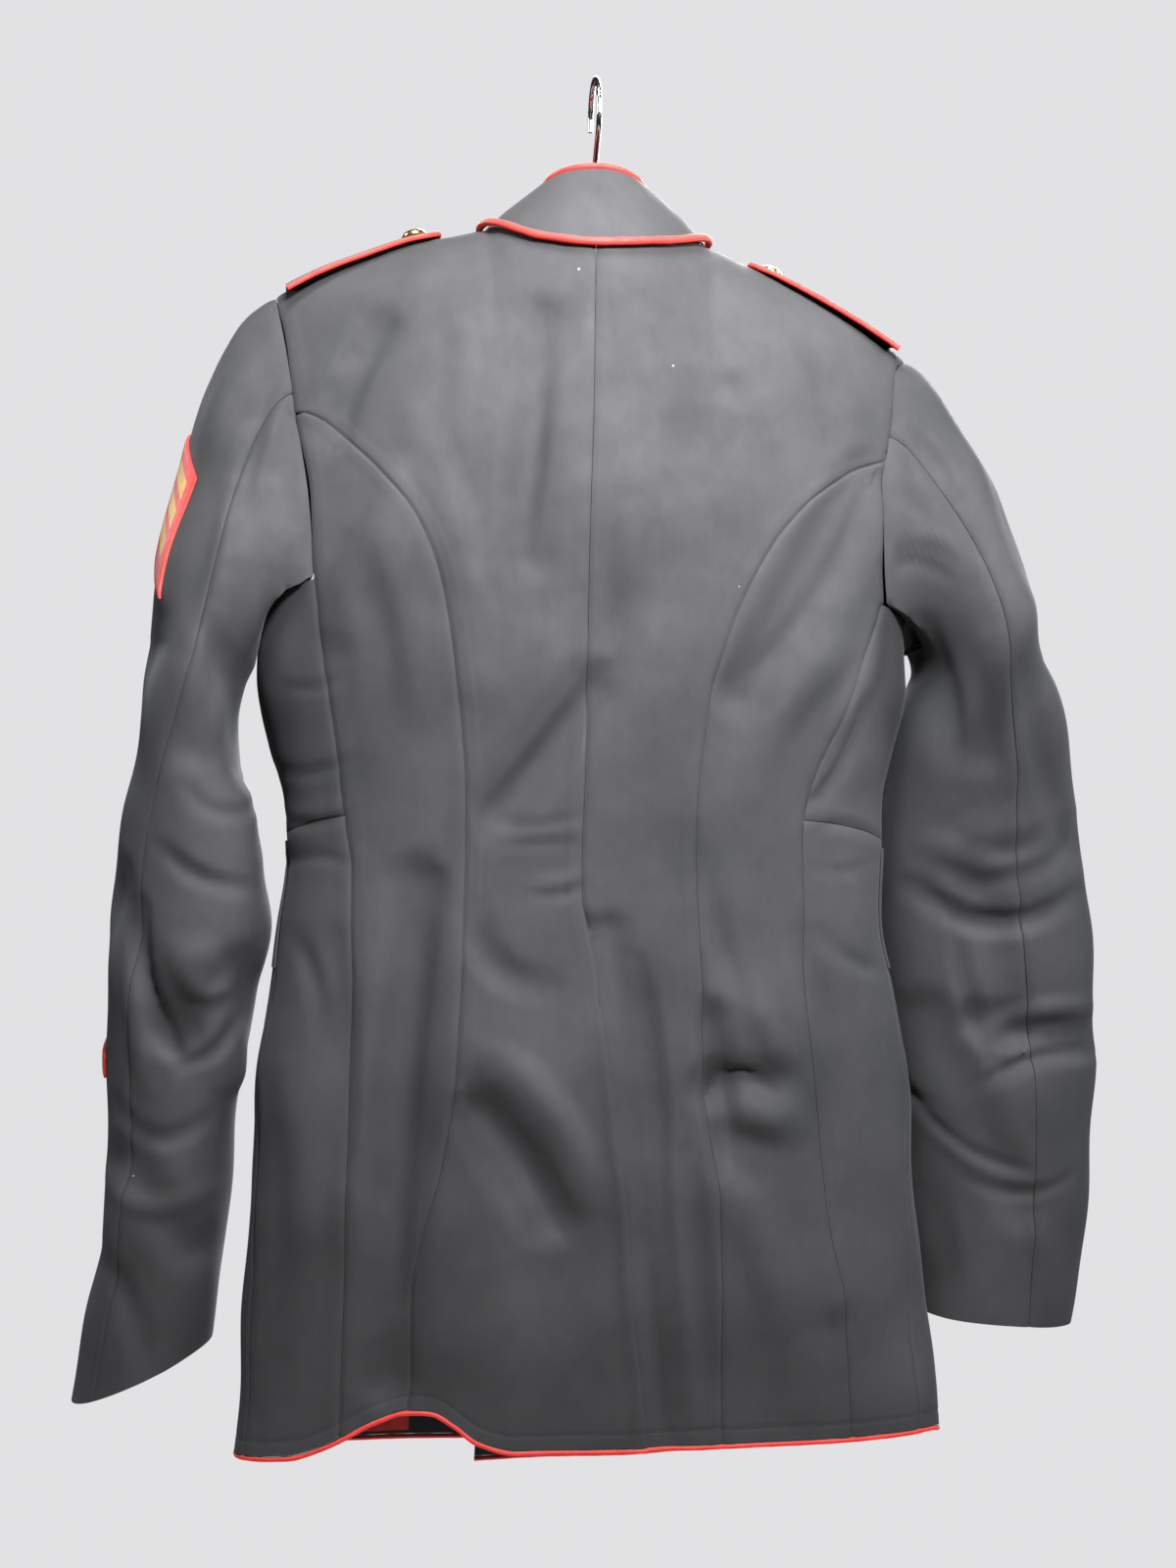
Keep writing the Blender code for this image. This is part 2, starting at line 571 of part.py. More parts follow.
def body_panels(cloth, collection):
    """Builds the ten panels and gives the hem line of each half, from the vent to the front edge."""
    hems = {}
    for side, hand in ((1, "left"), (-1, "right")):
        top = back_columns(side)
        spread = [(a - top[0]) / (top[-1] - top[0]) for a in top]

        def inner_edge(row, side=side):
            z = body_base(0, row)[2]
            if z > VENT_TOP:
                return seam_angle("centre", row)
            if side > 0 or z > VENT_SUNK - VENT_CLEAR:
                return seam_angle("vent", row)
            grown = smoothstep((VENT_SUNK - z) / (VENT_SUNK - VENT_LAPPED))
            edge = table(VENT_EDGE, "z", "x", z)
            wanted = edge + (VENT_LAP_EDGE - edge) * grown
            return angle_at_x(row, 1 if wanted > 5 else -1, lambda height: wanted)

        def back_outer(row, hand=hand):
            if row < UPPER_ROWS[PRINCESS_ROW]:
                return seam_angle("armhole_back_" + hand, row)
            return seam_angle("princess_" + hand, row)

        def armhole_or_side(row, hand=hand):
            return seam_angle(("armhole_back_" if row < 0 else "side_back_") + hand, row)

        rows = UPPER_ROWS + LOWER_ROWS
        hem = panel("back_" + hand, rows, inner_edge, back_outer, spread, ("left", "right", "top"),
                    cloth, collection, under=side < 0)
        hem += panel("side_back_" + hand, rows[PRINCESS_ROW:], back_outer, armhole_or_side,
                     SIDE_BACK_COLUMNS, ("left", "right"), cloth, collection)

        def side_back(row, hand=hand):
            return seam_angle("side_back_" + hand, row)

        def side_front(row, hand=hand):
            return seam_angle("side_front_" + hand, row)

        panel("side_upper_" + hand, LOWER_ROWS[: WAIST_ROW + 1], side_back, side_front, SIDE_COLUMNS,
              ("left", "right", "bottom"), cloth, collection)
        hem += panel("side_lower_" + hand, LOWER_ROWS[WAIST_ROW:], side_back, side_front, SIDE_COLUMNS,
                     ("left", "right", "top"), cloth, collection)

        top = front_columns(side)
        share = [(a - top[0]) / (top[-1] - top[0]) for a in top]

        def front_outer(row, hand=hand):
            return seam_angle(("armhole_front_" if row < 0 else "side_front_") + hand, row)

        outer, normals = [], []
        for row in rows:
            start = front_outer(row)
            edge = table(FRONT_EDGE_RIGHT, "row", "angle", row)
            lap = [FRONT_EDGE_LEFT] if side > 0 else [0.5 * (edge - 180), edge]
            angles = [start + (side * 180.0 - start) * f for f in share] + lap
            outer.append([body_point(a, row, side < 0) for a in angles])
            normals.append([body_normal(a, row, side < 0) for a in angles])
        outer = draw_in(np.array(outer), SEAM_GAP / 2, ("left", "top"))
        add_shell("front_" + hand, outer, normals, CLOTH, cloth, collection)
        hems[hand] = hem + middle_of_edge(outer, normals)
    return hems


def armhole_loop(side):
    """Turns and points of the armhole edge: 0 at the shoulder tip, 90 behind, 180 under the arm."""
    hand = "left" if side > 0 else "right"
    back = [body_point(seam_angle("armhole_back_" + hand, row), row) for row in UPPER_ROWS]
    start, end = seam_angle("side_back_" + hand, 0.0), seam_angle("side_front_" + hand, 0.0)
    under = [body_point(start + (end - start) * f, 0.0) for f in (0, 0.25, 0.5, 0.75, 1)]
    front = [body_point(seam_angle("armhole_front_" + hand, row), row) for row in reversed(UPPER_ROWS)]
    loop = back + under + front[:-1]
    lowest = len(back) + 2
    steps = [np.linalg.norm(b - a) for a, b in zip(loop, loop[1:] + loop[:1])]
    total_back = sum(steps[:lowest])
    total_front = sum(steps[lowest:])
    turns, gone = [], 0.0
    for k in range(len(loop)):
        behind, before = 180 * gone / total_back, 180 + 180 * (gone - total_back) / total_front
        turns.append(behind if k <= lowest else before)
        gone += steps[k]
    return turns, loop


class Sleeve:
    """One sleeve's outer face. turn goes round it, run down it: 0 armhole, 1 below the cap, 2 cuff."""

    def __init__(self, side):
        self.side = side
        self.hand = "left" if side > 0 else "right"
        self.sections = SLEEVE_LEFT if side > 0 else SLEEVE_RIGHT
        self.folds = SLEEVE_FOLDS_LEFT if side > 0 else SLEEVE_FOLDS_RIGHT
        self.turns, self.loop = armhole_loop(side)

    def level(self, data, turn):
        share = 0.5 * (1 - math.cos(math.radians(turn)))
        return data[self.hand + "_outer"] + (data[self.hand + "_inner"] - data[self.hand + "_outer"]) * share

    def armhole(self, turn):
        turn = turn % 360
        turns = self.turns + [360.0]
        loop = self.loop + [self.loop[0]]
        k = max(i for i in range(len(turns) - 1) if turns[i] <= turn + 1e-9)
        t = (turn - turns[k]) / (turns[k + 1] - turns[k])
        return loop[k] * (1 - t) + loop[k + 1] * t

    def tube(self, turn, z):
        outer = table(self.sections, "z", "outer", z)
        inner = table(self.sections, "z", "inner", z)
        angle = math.radians(turn)
        x = 0.5 * (outer + inner) + 0.5 * (outer - inner) * signed_power(math.cos(angle), 2 / SLEEVE_POWER)
        deep = table(self.sections, "z", "half_depth", z)
        y = table(self.sections, "z", "middle", z) + deep * signed_power(math.sin(angle), 2 / SLEEVE_POWER)
        return np.array([x, y, z])

    def point(self, turn, run):
        angle = math.radians(turn)
        top = self.level(CAP_END, turn)
        if run <= 1:
            start, end = self.armhole(turn), self.tube(turn, top)
            reach = np.linalg.norm(end - start)
            rise = 0.5 * (1 + math.cos(angle))
            leave = np.array([self.side, 0.15 * math.sin(angle), -0.1 - 0.35 * rise])
            leave = leave / np.linalg.norm(leave) * 0.62 * reach
            arrive = (self.tube(turn, top - 6) - end) / 6 * 0.93 * reach
            t = max(0.0, run)
            point = start * (1 + 2 * t) * (1 - t) ** 2 + leave * t * (1 - t) ** 2
            point = point + end * t * t * (3 - 2 * t) - arrive * t * t * (1 - t)
            point = point + np.array([self.side * SEAM_GAP, 0, 0]) + min(run, 0.0) * leave
            weight = smoothstep(run * 2.5)
        else:
            z = top + (self.level(CUFF, turn) - top) * (run - 1)
            point = self.tube(turn, z)
            point[0] += self.side * SEAM_GAP
            weight = 1.0
        push = 0.0
        if math.sin(angle) > 0:
            push = fold_height(self.folds, point[0], point[2]) * smoothstep(math.sin(angle) * 2.5) * weight
        return point + push * np.array([self.side * math.cos(angle), math.sin(angle), 0])

    def normal(self, turn, run):
        angle = math.radians(turn)
        facing = np.array([self.side * math.cos(angle), math.sin(angle), 0.0])
        if run < 0.6:
            facing = np.array([0.2 * self.side, math.sin(angle), math.cos(angle)])
        if abs(run - 1) < 0.01:
            run = 1.01
        return surface_normal(self.point, turn, max(run, 0.004), (1.0, 0.004), facing)

    def back_seam(self, run):
        if run <= 1:
            start = self.nearest(SLEEVE_BACK_SEAM[self.hand][0])
            end = table(SLEEVE_BACK_SEAM, self.hand + "_z", self.hand, self.level(CAP_END, 90))
            return start + (end - start) * smoothstep(run)
        top = self.level(CAP_END, 80)
        z = top + (self.level(CUFF, 80) - top) * (run - 1)
        return table(SLEEVE_BACK_SEAM, self.hand + "_z", self.hand, z)

    def nearest(self, turn):
        return min(self.turns, key=lambda t: abs(t - turn % 360))

    def front_seam(self, run):
        start = self.nearest(SLEEVE_FRONT_SEAM) - 360
        return start + (SLEEVE_FRONT_SEAM - start) * smoothstep(run)


def sleeve_pieces(sleeve, cloth, collection):
    runs = CAP_RUNS + TUBE_RUNS
    start, end = sleeve.front_seam(0), sleeve.back_seam(0)
    signed = sorted(t if t <= end + 1e-6 else t - 360 for t in sleeve.turns)
    top = [t for t in signed if t >= start - 1e-6]
    under = [end] + sorted(t for t in sleeve.turns if end < t < start + 360 - 1e-6) + [start + 360]
    for name, turns, first, last in (
        ("sleeve_top_", top, sleeve.front_seam, sleeve.back_seam),
        ("sleeve_under_", under, sleeve.back_seam, lambda run: sleeve.front_seam(run) + 360),
    ):
        shares = [(t - turns[0]) / (turns[-1] - turns[0]) for t in turns]
        outer, normals = [], []
        for run in runs:
            a, b = first(run), last(run)
            around = [a + (b - a) * f for f in shares]
            outer.append([sleeve.point(t, run) for t in around])
            normals.append([sleeve.normal(t, run) for t in around])
        add_shell(name + sleeve.hand, draw_in(np.array(outer), SEAM_GAP / 2 + 0.06, ("left", "right")),
                  normals, CLOTH, cloth, collection)


def sleeve_patch(name, sleeve, data, material, collection):
    """Cloth sewn on a sleeve, a band as tall as data says, bent up or down by its rise."""
    middle = data[sleeve.hand + "_turn"]
    half = (len(data["rise"]) - 1) / 2
    outer, normals = [], []
    for share in (0.0, 0.25, 0.5, 0.75, 1.0):
        row, facing = [], []
        for k, rise in enumerate(data["rise"]):
            turn = middle + PATCH_STEP * (k - half)
            z = data[sleeve.hand + "_top"] + rise - data["tall"] * share
            run = sleeve_run(sleeve, turn, z)
            normal = sleeve.normal(turn, run)
            row.append(sleeve.point(turn, run) + normal * (PATCH_CLOTH + PATCH_GAP))
            facing.append(normal)
        outer.append(row)
        normals.append(facing)
    add_shell(name + sleeve.hand, outer, normals, PATCH_CLOTH, material, collection)


def sleeve_run(sleeve, turn, z):
    low, high = 0.05, 1.999
    for _ in range(36):
        middle = 0.5 * (low + high)
        if sleeve.point(turn, middle)[2] > z:
            low = middle
        else:
            high = middle
    return 0.5 * (low + high)


def collar_parts(cloth, scarlet, collection):
    ring = neck_ring()
    outer, normals, tops, welts = [[], [], []], [[], [], []], [], []
    for k, base in enumerate(ring):
        angle = math.degrees(math.atan2(base[0] - NECK_CENTRE, base[1]))
        angle = max(-COLLAR_GAP_ANGLE, min(COLLAR_GAP_ANGLE, angle))
        turn = math.radians(angle)
        depth = COLLAR_TOP_BACK if math.cos(turn) > 0 else COLLAR_TOP_FRONT
        shape = (base[0] - NECK_CENTRE) / NECK_HALF_WIDTH
        deep = max(0.0, 1 - abs(shape) ** COLLAR_TOP_POWER) ** (1 / COLLAR_TOP_POWER)
        top = np.array([COLLAR_TOP_CENTRE + COLLAR_TOP_HALF_WIDTH * shape,
                        math.copysign(depth, base[1]) * deep, table(COLLAR_TOP_Z, "angle", "z", angle)])
        base = base + np.array([0, 0, SEAM_GAP])
        following, previous = ring[min(k + 1, len(ring) - 1)], ring[max(k - 1, 0)]
        along = following - previous
        flat = np.array([-along[1], along[0], 0.0])
        flat = flat / np.linalg.norm(flat)
        for level, share in enumerate((0.0, 0.5, 1.0)):
            point = base + (top - base) * share + flat * COLLAR_BULGE * math.sin(math.pi * share)
            outer[level].append(point)
            rise = top - base
            normal = np.cross(along, rise)
            normal = normal / np.linalg.norm(normal)
            normal = normal if normal @ flat > 0 else -normal
            normals[level].append(normal if share else flat)
        lean = normals[2][-1]
        up = (top - base) / np.linalg.norm(top - base)
        tops.append(top - lean * COLLAR_CLOTH / 2 + up * (TOP_PIPING_RADIUS + SEAM_GAP))
        beside = normals[1][-1]
        below = neck_normal(base[0], base[1] >= 0)
        clear = WELT_CLEAR_FRONT if base[1] < 0 else WELT_CLEAR_BACK
        away = WELT_RADIUS + 2 * SEAM_GAP + clear * max(0.0, below[2])
        welts.append(base + (beside + below) * away / (1 + beside @ below))
    add_shell("collar", outer, normals, COLLAR_CLOTH, cloth, collection)
    add_cord("collar_top_piping", tops, TOP_PIPING_RADIUS, scarlet, collection)
    add_cord("collar_neck_piping", welts, WELT_RADIUS, scarlet, collection)


def neck_normal(x, behind):
    """Outward normal of the body just below its neckline at x."""
    side = 1 if x >= 0 else -1
    span = (0.0, 90.0) if behind else (180.0, 90.0)
    inside = NECK_CENTRE + (x - NECK_CENTRE) * 0.995
    angle = angle_at_x(-1.0, side, lambda z: inside, *span)
    return body_normal(angle, -0.985)


def strap_parts(side, data, cloth, scarlet, brass, collection):
    hand = "left" if side > 0 else "right"
    outer, normals = [], []
    for k, x in enumerate(data["x"]):
        row = []
        for share in (0.0, 0.25, 0.5, 0.75, 1.0):
            y = data["front"][k] + (data["back"][k] - data["front"][k]) * share
            row.append(strap_point(x, y))
        outer.append(row)
        slope = (strap_point(x + 2, 0) - strap_point(x - 2, 0)) / 4
        up = np.array([-slope[2], 0, 1.0])
        normals.append([up / np.linalg.norm(up)] * 5)
    add_shell("shoulder_strap_" + hand, outer, normals, STRAP_CLOTH, cloth, collection)
    outer = np.array(outer)
    centre = outer - 0.5 * STRAP_CLOTH * np.array(normals)
    outline = list(centre[::-1, 0]) + list(centre[0, 1:-1]) + list(centre[:, -1])
    cord = []
    for k, point in enumerate(outline):
        before, after = outline[max(k - 1, 0)], outline[min(k + 1, len(outline) - 1)]
        first = outward_of_step(point - before if k else after - point, side)
        second = outward_of_step(after - point if k < len(outline) - 1 else point - before, side)
        reach = (STRAP_PIPING_RADIUS + SEAM_GAP) / (1 + first @ second)
        cord.append(point + (first + second) * reach)
    add_cord("strap_piping_" + hand, cord, STRAP_PIPING_RADIUS, scarlet, collection)
    x, y = side * STRAP_BUTTON_X, STRAP_BUTTON_Y
    button = add_button("strap_button_" + hand, STRAP_BUTTON_RADIUS, STRAP_BUTTON_HEIGHT, brass, collection)
    slope = (strap_point(x + 2, y) - strap_point(x - 2, y)) / 4
    button.location = tuple((strap_point(x, y) + np.array([0, 0, 2 * SEAM_GAP])) * MM)
    button.rotation_euler = (0, -math.atan(slope[2]), 0)


def outward_of_step(step, side):
    """Level direction out of a strap for a step along its outline, front edge first."""
    out = np.array([-step[1], step[0], 0.0]) * side
    return out / np.linalg.norm(out)


def strap_point(x, y):
    """Top face of a shoulder strap, a little flatter than the shoulder under it."""
    z = top_line(x, True)[1] + STRAP_CLOTH + STRAP_GAP
    return np.array([x, y, z - STRAP_CROWN * (y / STRAP_HALF_WIDTH) ** 2])


def add_button(name, radius, height, material, collection):
    """Domed button on its axis, turned from a profile that starts at its top."""
    points = [(r * radius * MM, 0.0, h * height * MM) for r, h in BUTTON_PROFILE]
    mesh = bpy.data.meshes.new(name)
    mesh.from_pydata(points, [(k, k + 1) for k in range(len(points) - 1)], [])
    mesh.materials.append(material)
    obj = bpy.data.objects.new(name, mesh)
    collection.objects.link(obj)
    screw = obj.modifiers.new("turn", "SCREW")
    screw.steps = BUTTON_STEPS
    screw.render_steps = BUTTON_STEPS
    screw.use_merge_vertices = True
    screw.merge_threshold = 0.0001
    screw.use_normal_calculate = True
    return obj


def front_buttons(brass, collection):
    for k in range(FRONT_BUTTON_COUNT):
        z = FRONT_BUTTON_TOP - k * FRONT_BUTTON_STEP
        low, high = -0.999, 0.999
        for _ in range(40):
            row = 0.5 * (low + high)
            if body_point(FRONT_BUTTON_ANGLE, row)[2] > z:
                low = row
            else:
                high = row
        normal = body_normal(FRONT_BUTTON_ANGLE, row)
        button = add_button(f"front_button_{k + 1}", BUTTON_RADIUS, BUTTON_HEIGHT, brass, collection)
        button.location = tuple((body_point(FRONT_BUTTON_ANGLE, row) + normal * FRONT_BUTTON_GAP) * MM)
        button.rotation_euler = (math.atan2(math.hypot(normal[0], normal[1]), normal[2]), 0,
                                 math.atan2(normal[0], -normal[1]))


def hem_parts(hems, scarlet, collection):
    for hand, line in hems.items():
        points = [line[0]]
        for point in line[1:]:
            if np.linalg.norm(point - points[-1]) > 2:
                points.append(point)
        drop = np.array([0, 0, HEM_PIPING_RADIUS + SEAM_GAP])
        add_cord("hem_piping_" + hand, [p - drop for p in points], HEM_PIPING_RADIUS, scarlet, collection)


def front_facing(scarlet, collection):
    """Scarlet cloth on the inside of the left front, only the corner that shows below the back hem."""
    outer, normals = [], []
    for row in FACING_ROWS:
        points, facing = [], []
        for angle in FACING_ANGLES:
            normal = body_normal(angle, row)
            points.append(body_point(angle, row) - normal * (CLOTH + FACING_GAP))
            facing.append(normal)
        outer.append(points)
        normals.append(facing)
    add_shell("front_facing_left", outer, normals, FACING_CLOTH, scarlet, collection)


def slit_welts(cloth, collection):
    for side, hand in ((1, "left"), (-1, "right")):
        outer, normals = [], []
        for row in WELT_ROWS:
            seam = seam_angle("side_front_" + hand, row)
            points, facing = [], []
            for step in WELT_STEPS:
                normal = body_normal(seam + side * step, row)
                points.append(body_point(seam + side * step, row) + normal * (WELT_CLOTH + WELT_GAP))
                facing.append(normal)
            outer.append(points)
            normals.append(facing)
        add_shell("slit_welt_" + hand, outer, normals, WELT_CLOTH, cloth, collection)


def bar_top(x):
    """Height of the shoulder bar, a little under the inner face of the cloth that lies on it."""
    slope = (top_line(x + 3, True)[1] - top_line(x - 3, True)[1]) / 6
    return top_line(x, True)[1] - CLOTH * math.hypot(1, slope) - HANGER_SINK


def hanger_parts(wood, chrome, collection):
    points = []
    right, left = bar_top(-HANGER_MIDDLE), bar_top(HANGER_MIDDLE)
    for k in range(HANGER_SECTIONS):
        x = -HANGER_END + 2 * HANGER_END * k / (HANGER_SECTIONS - 1)
        if abs(x) >= HANGER_MIDDLE:
            top = bar_top(x)
        else:
            across = x / HANGER_MIDDLE
            top = 0.5 * (left + right) + 0.5 * (left - right) * across + HANGER_CROWN * (1 - across ** 2)
        tall = HANGER_HEIGHT * (1 - 0.3 * abs(x) / HANGER_END)
        thick = HANGER_THICKNESS * (1 - 0.5 * abs(x / HANGER_END) ** 3)
        for step in range(HANGER_SIDES):
            turn = 2 * math.pi * step / HANGER_SIDES + math.pi / 2
            points.append((x, 0.5 * thick * math.cos(turn), top - tall / 2 + tall / 2 * math.sin(turn)))
    faces = grid_faces(HANGER_SECTIONS, HANGER_SIDES, True)
    faces.append(tuple(reversed(range(HANGER_SIDES))))
    faces.append(tuple(range((HANGER_SECTIONS - 1) * HANGER_SIDES, HANGER_SECTIONS * HANGER_SIDES)))
    add_object("hanger_bar", points, faces, wood, collection)
    stem_foot = points[(HANGER_SECTIONS // 2) * HANGER_SIDES][2] + SEAM_GAP
    middle = HOOK_BEND_RADIUS + HOOK_WIRE_RADIUS
    line = [(0, 0, stem_foot)] + list(HOOK_STEM)
    for step in range(HOOK_STEPS + 1):
        turn = math.radians(HOOK_START + step * HOOK_SWEEP / HOOK_STEPS)
        line.append((0, middle * math.cos(turn), -HOOK_BEND_RADIUS + middle * math.sin(turn)))
    add_cord("hanger_hook", line, HOOK_WIRE_RADIUS, chrome, collection, resolution=2)


def make_material(name, colour, roughness, metallic=0.0):
    material = bpy.data.materials.new(name)
    material.use_nodes = True
    shader = material.node_tree.nodes["Principled BSDF"]
    shader.inputs["Base Color"].default_value = (*colour, 1.0)
    shader.inputs["Roughness"].default_value = roughness
    shader.inputs["Metallic"].default_value = metallic
    return material


def main():
    for obj in list(bpy.data.objects):
        bpy.data.objects.remove(obj)
    collection = bpy.data.collections.new("dress_blues_coat")
    bpy.context.scene.collection.children.link(collection)
    wool = make_material("navy_wool", (0.035, 0.036, 0.044), 0.8)
    scarlet = make_material("scarlet_cloth", (0.62, 0.03, 0.02), 0.75)
    gold = make_material("gold_braid", (0.75, 0.42, 0.05), 0.6)
    brass = make_material("brass", (0.8, 0.55, 0.18), 0.25, 1.0)
    wood = make_material("hanger_wood", (0.35, 0.2, 0.1), 0.5)
    chrome = make_material("chrome", (0.75, 0.75, 0.75), 0.12, 1.0)

    hem_parts(body_panels(wool, collection), scarlet, collection)
    for side in (1, -1):
        sleeve = Sleeve(side)
        sleeve_pieces(sleeve, wool, collection)
        sleeve_patch("rank_patch_", sleeve, RANK_PATCH, scarlet, collection)
        sleeve_patch("service_stripe_", sleeve, SERVICE_STRIPE, gold, collection)
    collar_parts(wool, scarlet, collection)
    strap_parts(1, STRAP_LEFT, wool, scarlet, brass, collection)
    strap_parts(-1, STRAP_RIGHT, wool, scarlet, brass, collection)
    front_buttons(brass, collection)
    front_facing(scarlet, collection)
    slit_welts(wool, collection)
    hanger_parts(wood, chrome, collection)


main()
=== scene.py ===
"""Looks of the dress blues coat: cloth with its seams and folds, piping, buttons and hanger.

Tables are in millimetres in the row frame, as in the part's source: origin inside the top of the hook,
+Z up, +Y out of the coat's back, +X the wearer's left. Objects are built in metres.
"""

import math

import bpy
import numpy as np
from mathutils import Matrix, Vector


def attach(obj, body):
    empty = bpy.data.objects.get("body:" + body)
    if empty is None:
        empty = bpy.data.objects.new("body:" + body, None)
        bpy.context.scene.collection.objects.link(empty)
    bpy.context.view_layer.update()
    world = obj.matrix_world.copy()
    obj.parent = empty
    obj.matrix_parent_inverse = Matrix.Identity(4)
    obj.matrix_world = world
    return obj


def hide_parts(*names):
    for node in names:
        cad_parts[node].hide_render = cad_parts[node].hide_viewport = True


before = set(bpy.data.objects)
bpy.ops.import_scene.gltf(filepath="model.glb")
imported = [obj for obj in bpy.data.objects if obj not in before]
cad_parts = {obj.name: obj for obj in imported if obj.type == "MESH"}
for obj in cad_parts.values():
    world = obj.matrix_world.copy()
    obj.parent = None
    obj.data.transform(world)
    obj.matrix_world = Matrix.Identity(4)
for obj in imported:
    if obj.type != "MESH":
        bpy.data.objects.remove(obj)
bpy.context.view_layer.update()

MM = 0.001

CLOTH = 2.0
COLLAR_CLOTH = 2.4
FACING_CLOTH = 1.0
PATCH_CLOTH = 1.2
PATCH_GAP = 1.1
FACING_GAP = 1.1
STRAP_CLOTH = 2.6
SEAM_GAP = 0.36
LAP_DROP = 3.3

UNDERARM_LEFT = -299.0
UNDERARM_RIGHT = -309.0
UNDERARM_SCOOP = 16.0
NECK_CENTRE = 0.4
NECK_HALF_WIDTH = 65.6
NECK_BACK = 62.0
NECK_FRONT = 74.0
NECK_FRONT_DROP = 44.0
NECK_POWER = 2.2
SHOULDER_ROUND = 0.46
SHOULDER_REACH = 200.0

# Half sections of the body by height: edge on the wearer's left and right, depth behind and in front.
BODY_SECTIONS = {
    "z": (-305, -360, -400, -432, -465, -503, -540, -595, -650, -700, -745, -790, -840),
    "left": (201, 199, 192, 185, 185, 188, 193, 200, 204, 207.5, 210, 213, 217),
    "right": (-188, -188, -180, -174, -173, -175, -180, -188.5, -194, -199, -203, -208, -212),
    "back": (80, 77, 73, 70, 69, 69, 70, 70, 69, 67, 65, 63, 61),
    "front": (82, 78, 73, 70, 69, 69, 69, 69, 68, 68, 67, 66, 65),
}
BODY_POWER = 2.4

# Height of the shoulder line across the coat; the wearer's left shoulder hangs higher.
SHOULDER_LINE = {
    "x": (-200, -190, -181, -169, -145, -116, -87, -66, 66, 88, 110, 139, 162, 180, 190, 200),
    "z": (-172, -164, -157, -149, -135, -120, -107, -99, -92, -96, -100, -110, -119, -128, -134, -140),
}
NECKLINE_BACK = {"x": (-66, -33, 7, 36, 66), "z": (-99, -108, -111, -107, -92)}

# Armhole edge by drop below the shoulder line, 0 at the line and 1 at the underarm.
ARMHOLE = {
    "drop": (0, 0.1, 0.22, 0.34, 0.45, 0.58, 0.72, 0.86, 1.0),
    "back_left": (190, 187, 183.5, 180.5, 178, 174.5, 171, 169, 168),
    "back_right": (-190, -180, -175.5, -173, -169.5, -167, -166, -166.5, -168.5),
    "front_left": (190, 181, 173, 166, 160, 157, 157, 162, 172),
    "front_right": (-190, -178, -170, -163, -157, -154, -154, -159, -168),
}

# Seams on the back half, as distance from the middle by height.
CENTRE_TOP_X = 6.9
CENTRE_SEAM = {"z": (-110, -204, -276, -409, -470, -491), "x": (6.9, 9.8, 12.6, 14.2, 15.9, 15.4)}
VENT_EDGE = {
    "z": (-491, -521, -558, -591, -624, -667, -730, -781, -800),
    "x": (15.4, 8.8, 3.7, -0.3, -4.2, -10.5, -15, -20.7, -22.6),
}
VENT_TOP = -491.0
VENT_SUNK = -503.0
VENT_LAPPED = -516.0
VENT_LAP_EDGE = 27.0
VENT_CLEAR = 4.0
VENT_LAP_REACH = 32.0
VENT_LAP_SLOPE = 24.0
PRINCESS_LEFT = {
    "z": (-206, -210, -221, -236, -263, -305, -361, -433, -499, -588, -643, -682, -715, -800),
    "x": (177.5, 168, 154, 137, 113, 96.6, 87.7, 82, 83.3, 87.7, 96.6, 107.7, 115, 116),
}
PRINCESS_RIGHT = {
    "z": (-230, -238, -259, -292, -336, -384, -446, -508, -578, -658, -709, -800),
    "x": (-168.5, -149, -116, -89, -68, -56.5, -50.8, -52, -58, -64, -66, -67),
}
SIDE_BACK_LEFT = {
    "z": (-300, -336, -385, -443, -470, -518, -603, -680, -757, -810),
    "x": (168, 164.3, 158.2, 149.8, 146.5, 146.5, 149.3, 150.4, 152.6, 154),
}
SIDE_BACK_RIGHT = {
    "z": (-310, -326, -341, -381, -427, -454, -524, -560, -612, -689, -740, -797, -810),
    "x": (-168.5, -161.6, -154, -138.7, -120, -116, -116.4, -118, -124, -133, -141, -146, -147),
}

# Front side seam as an angle round the body, 90 straight out to the side.
SIDE_FRONT = {
    "z": (-300, -400, -450, -510, -566, -620, -694, -786, -810),
    "left": (104, 93, 87, 84, 82, 81, 78, 75, 75),
    "right": (-104, -90, -80, -79, -79, -73, -68, -63.5, -63),
}
FRONT_EDGE_LEFT = 184.2
FRONT_EDGE_RIGHT = {"row": (-1, -0.4, 1), "angle": (-186, -189, -194.2)}
FRONT_LAP_FULL = -174.5
FRONT_LAP_STARTS = -167.0

# Hem height by angle round the body, 0 at the back and 180 at the front.
HEM = {
    "angle": (-210, -180, -150, -120, -90, -65, -45, -20, -3, 5, 10, 16, 20, 24, 29, 34,
              45, 55, 90, 120, 150, 180, 210),
    "z": (-838, -838, -835, -823, -812, -805, -805, -803, -803, -803, -803, -797, -787, -780, -779, -784,
          -799, -807, -813, -817, -822, -826, -826),
}

# Large soft folds on the back: the ends of each line, its half width, and its depth, troughs below zero.
BODY_FOLDS = {
    "x0": (-153, 37, 133, 14, -58, 112, 75, -64, 150, -100),
    "z0": (-240, -160, -160, -367, -596, -480, -610, -560, -330, -612),
    "x1": (-78, 49, 156, 62, -98, 126, 36, -76, 120, -128),
    "z1": (-367, -290, -215, -436, -592, -760, -668, -645, -250, -720),
    "half_width": (24, 24, 22, 24, 20, 26, 24, 20, 22, 24),
    "depth": (-6, -3.5, -3, -4, -4, -6, -5, -4, 3.5, 4),
}

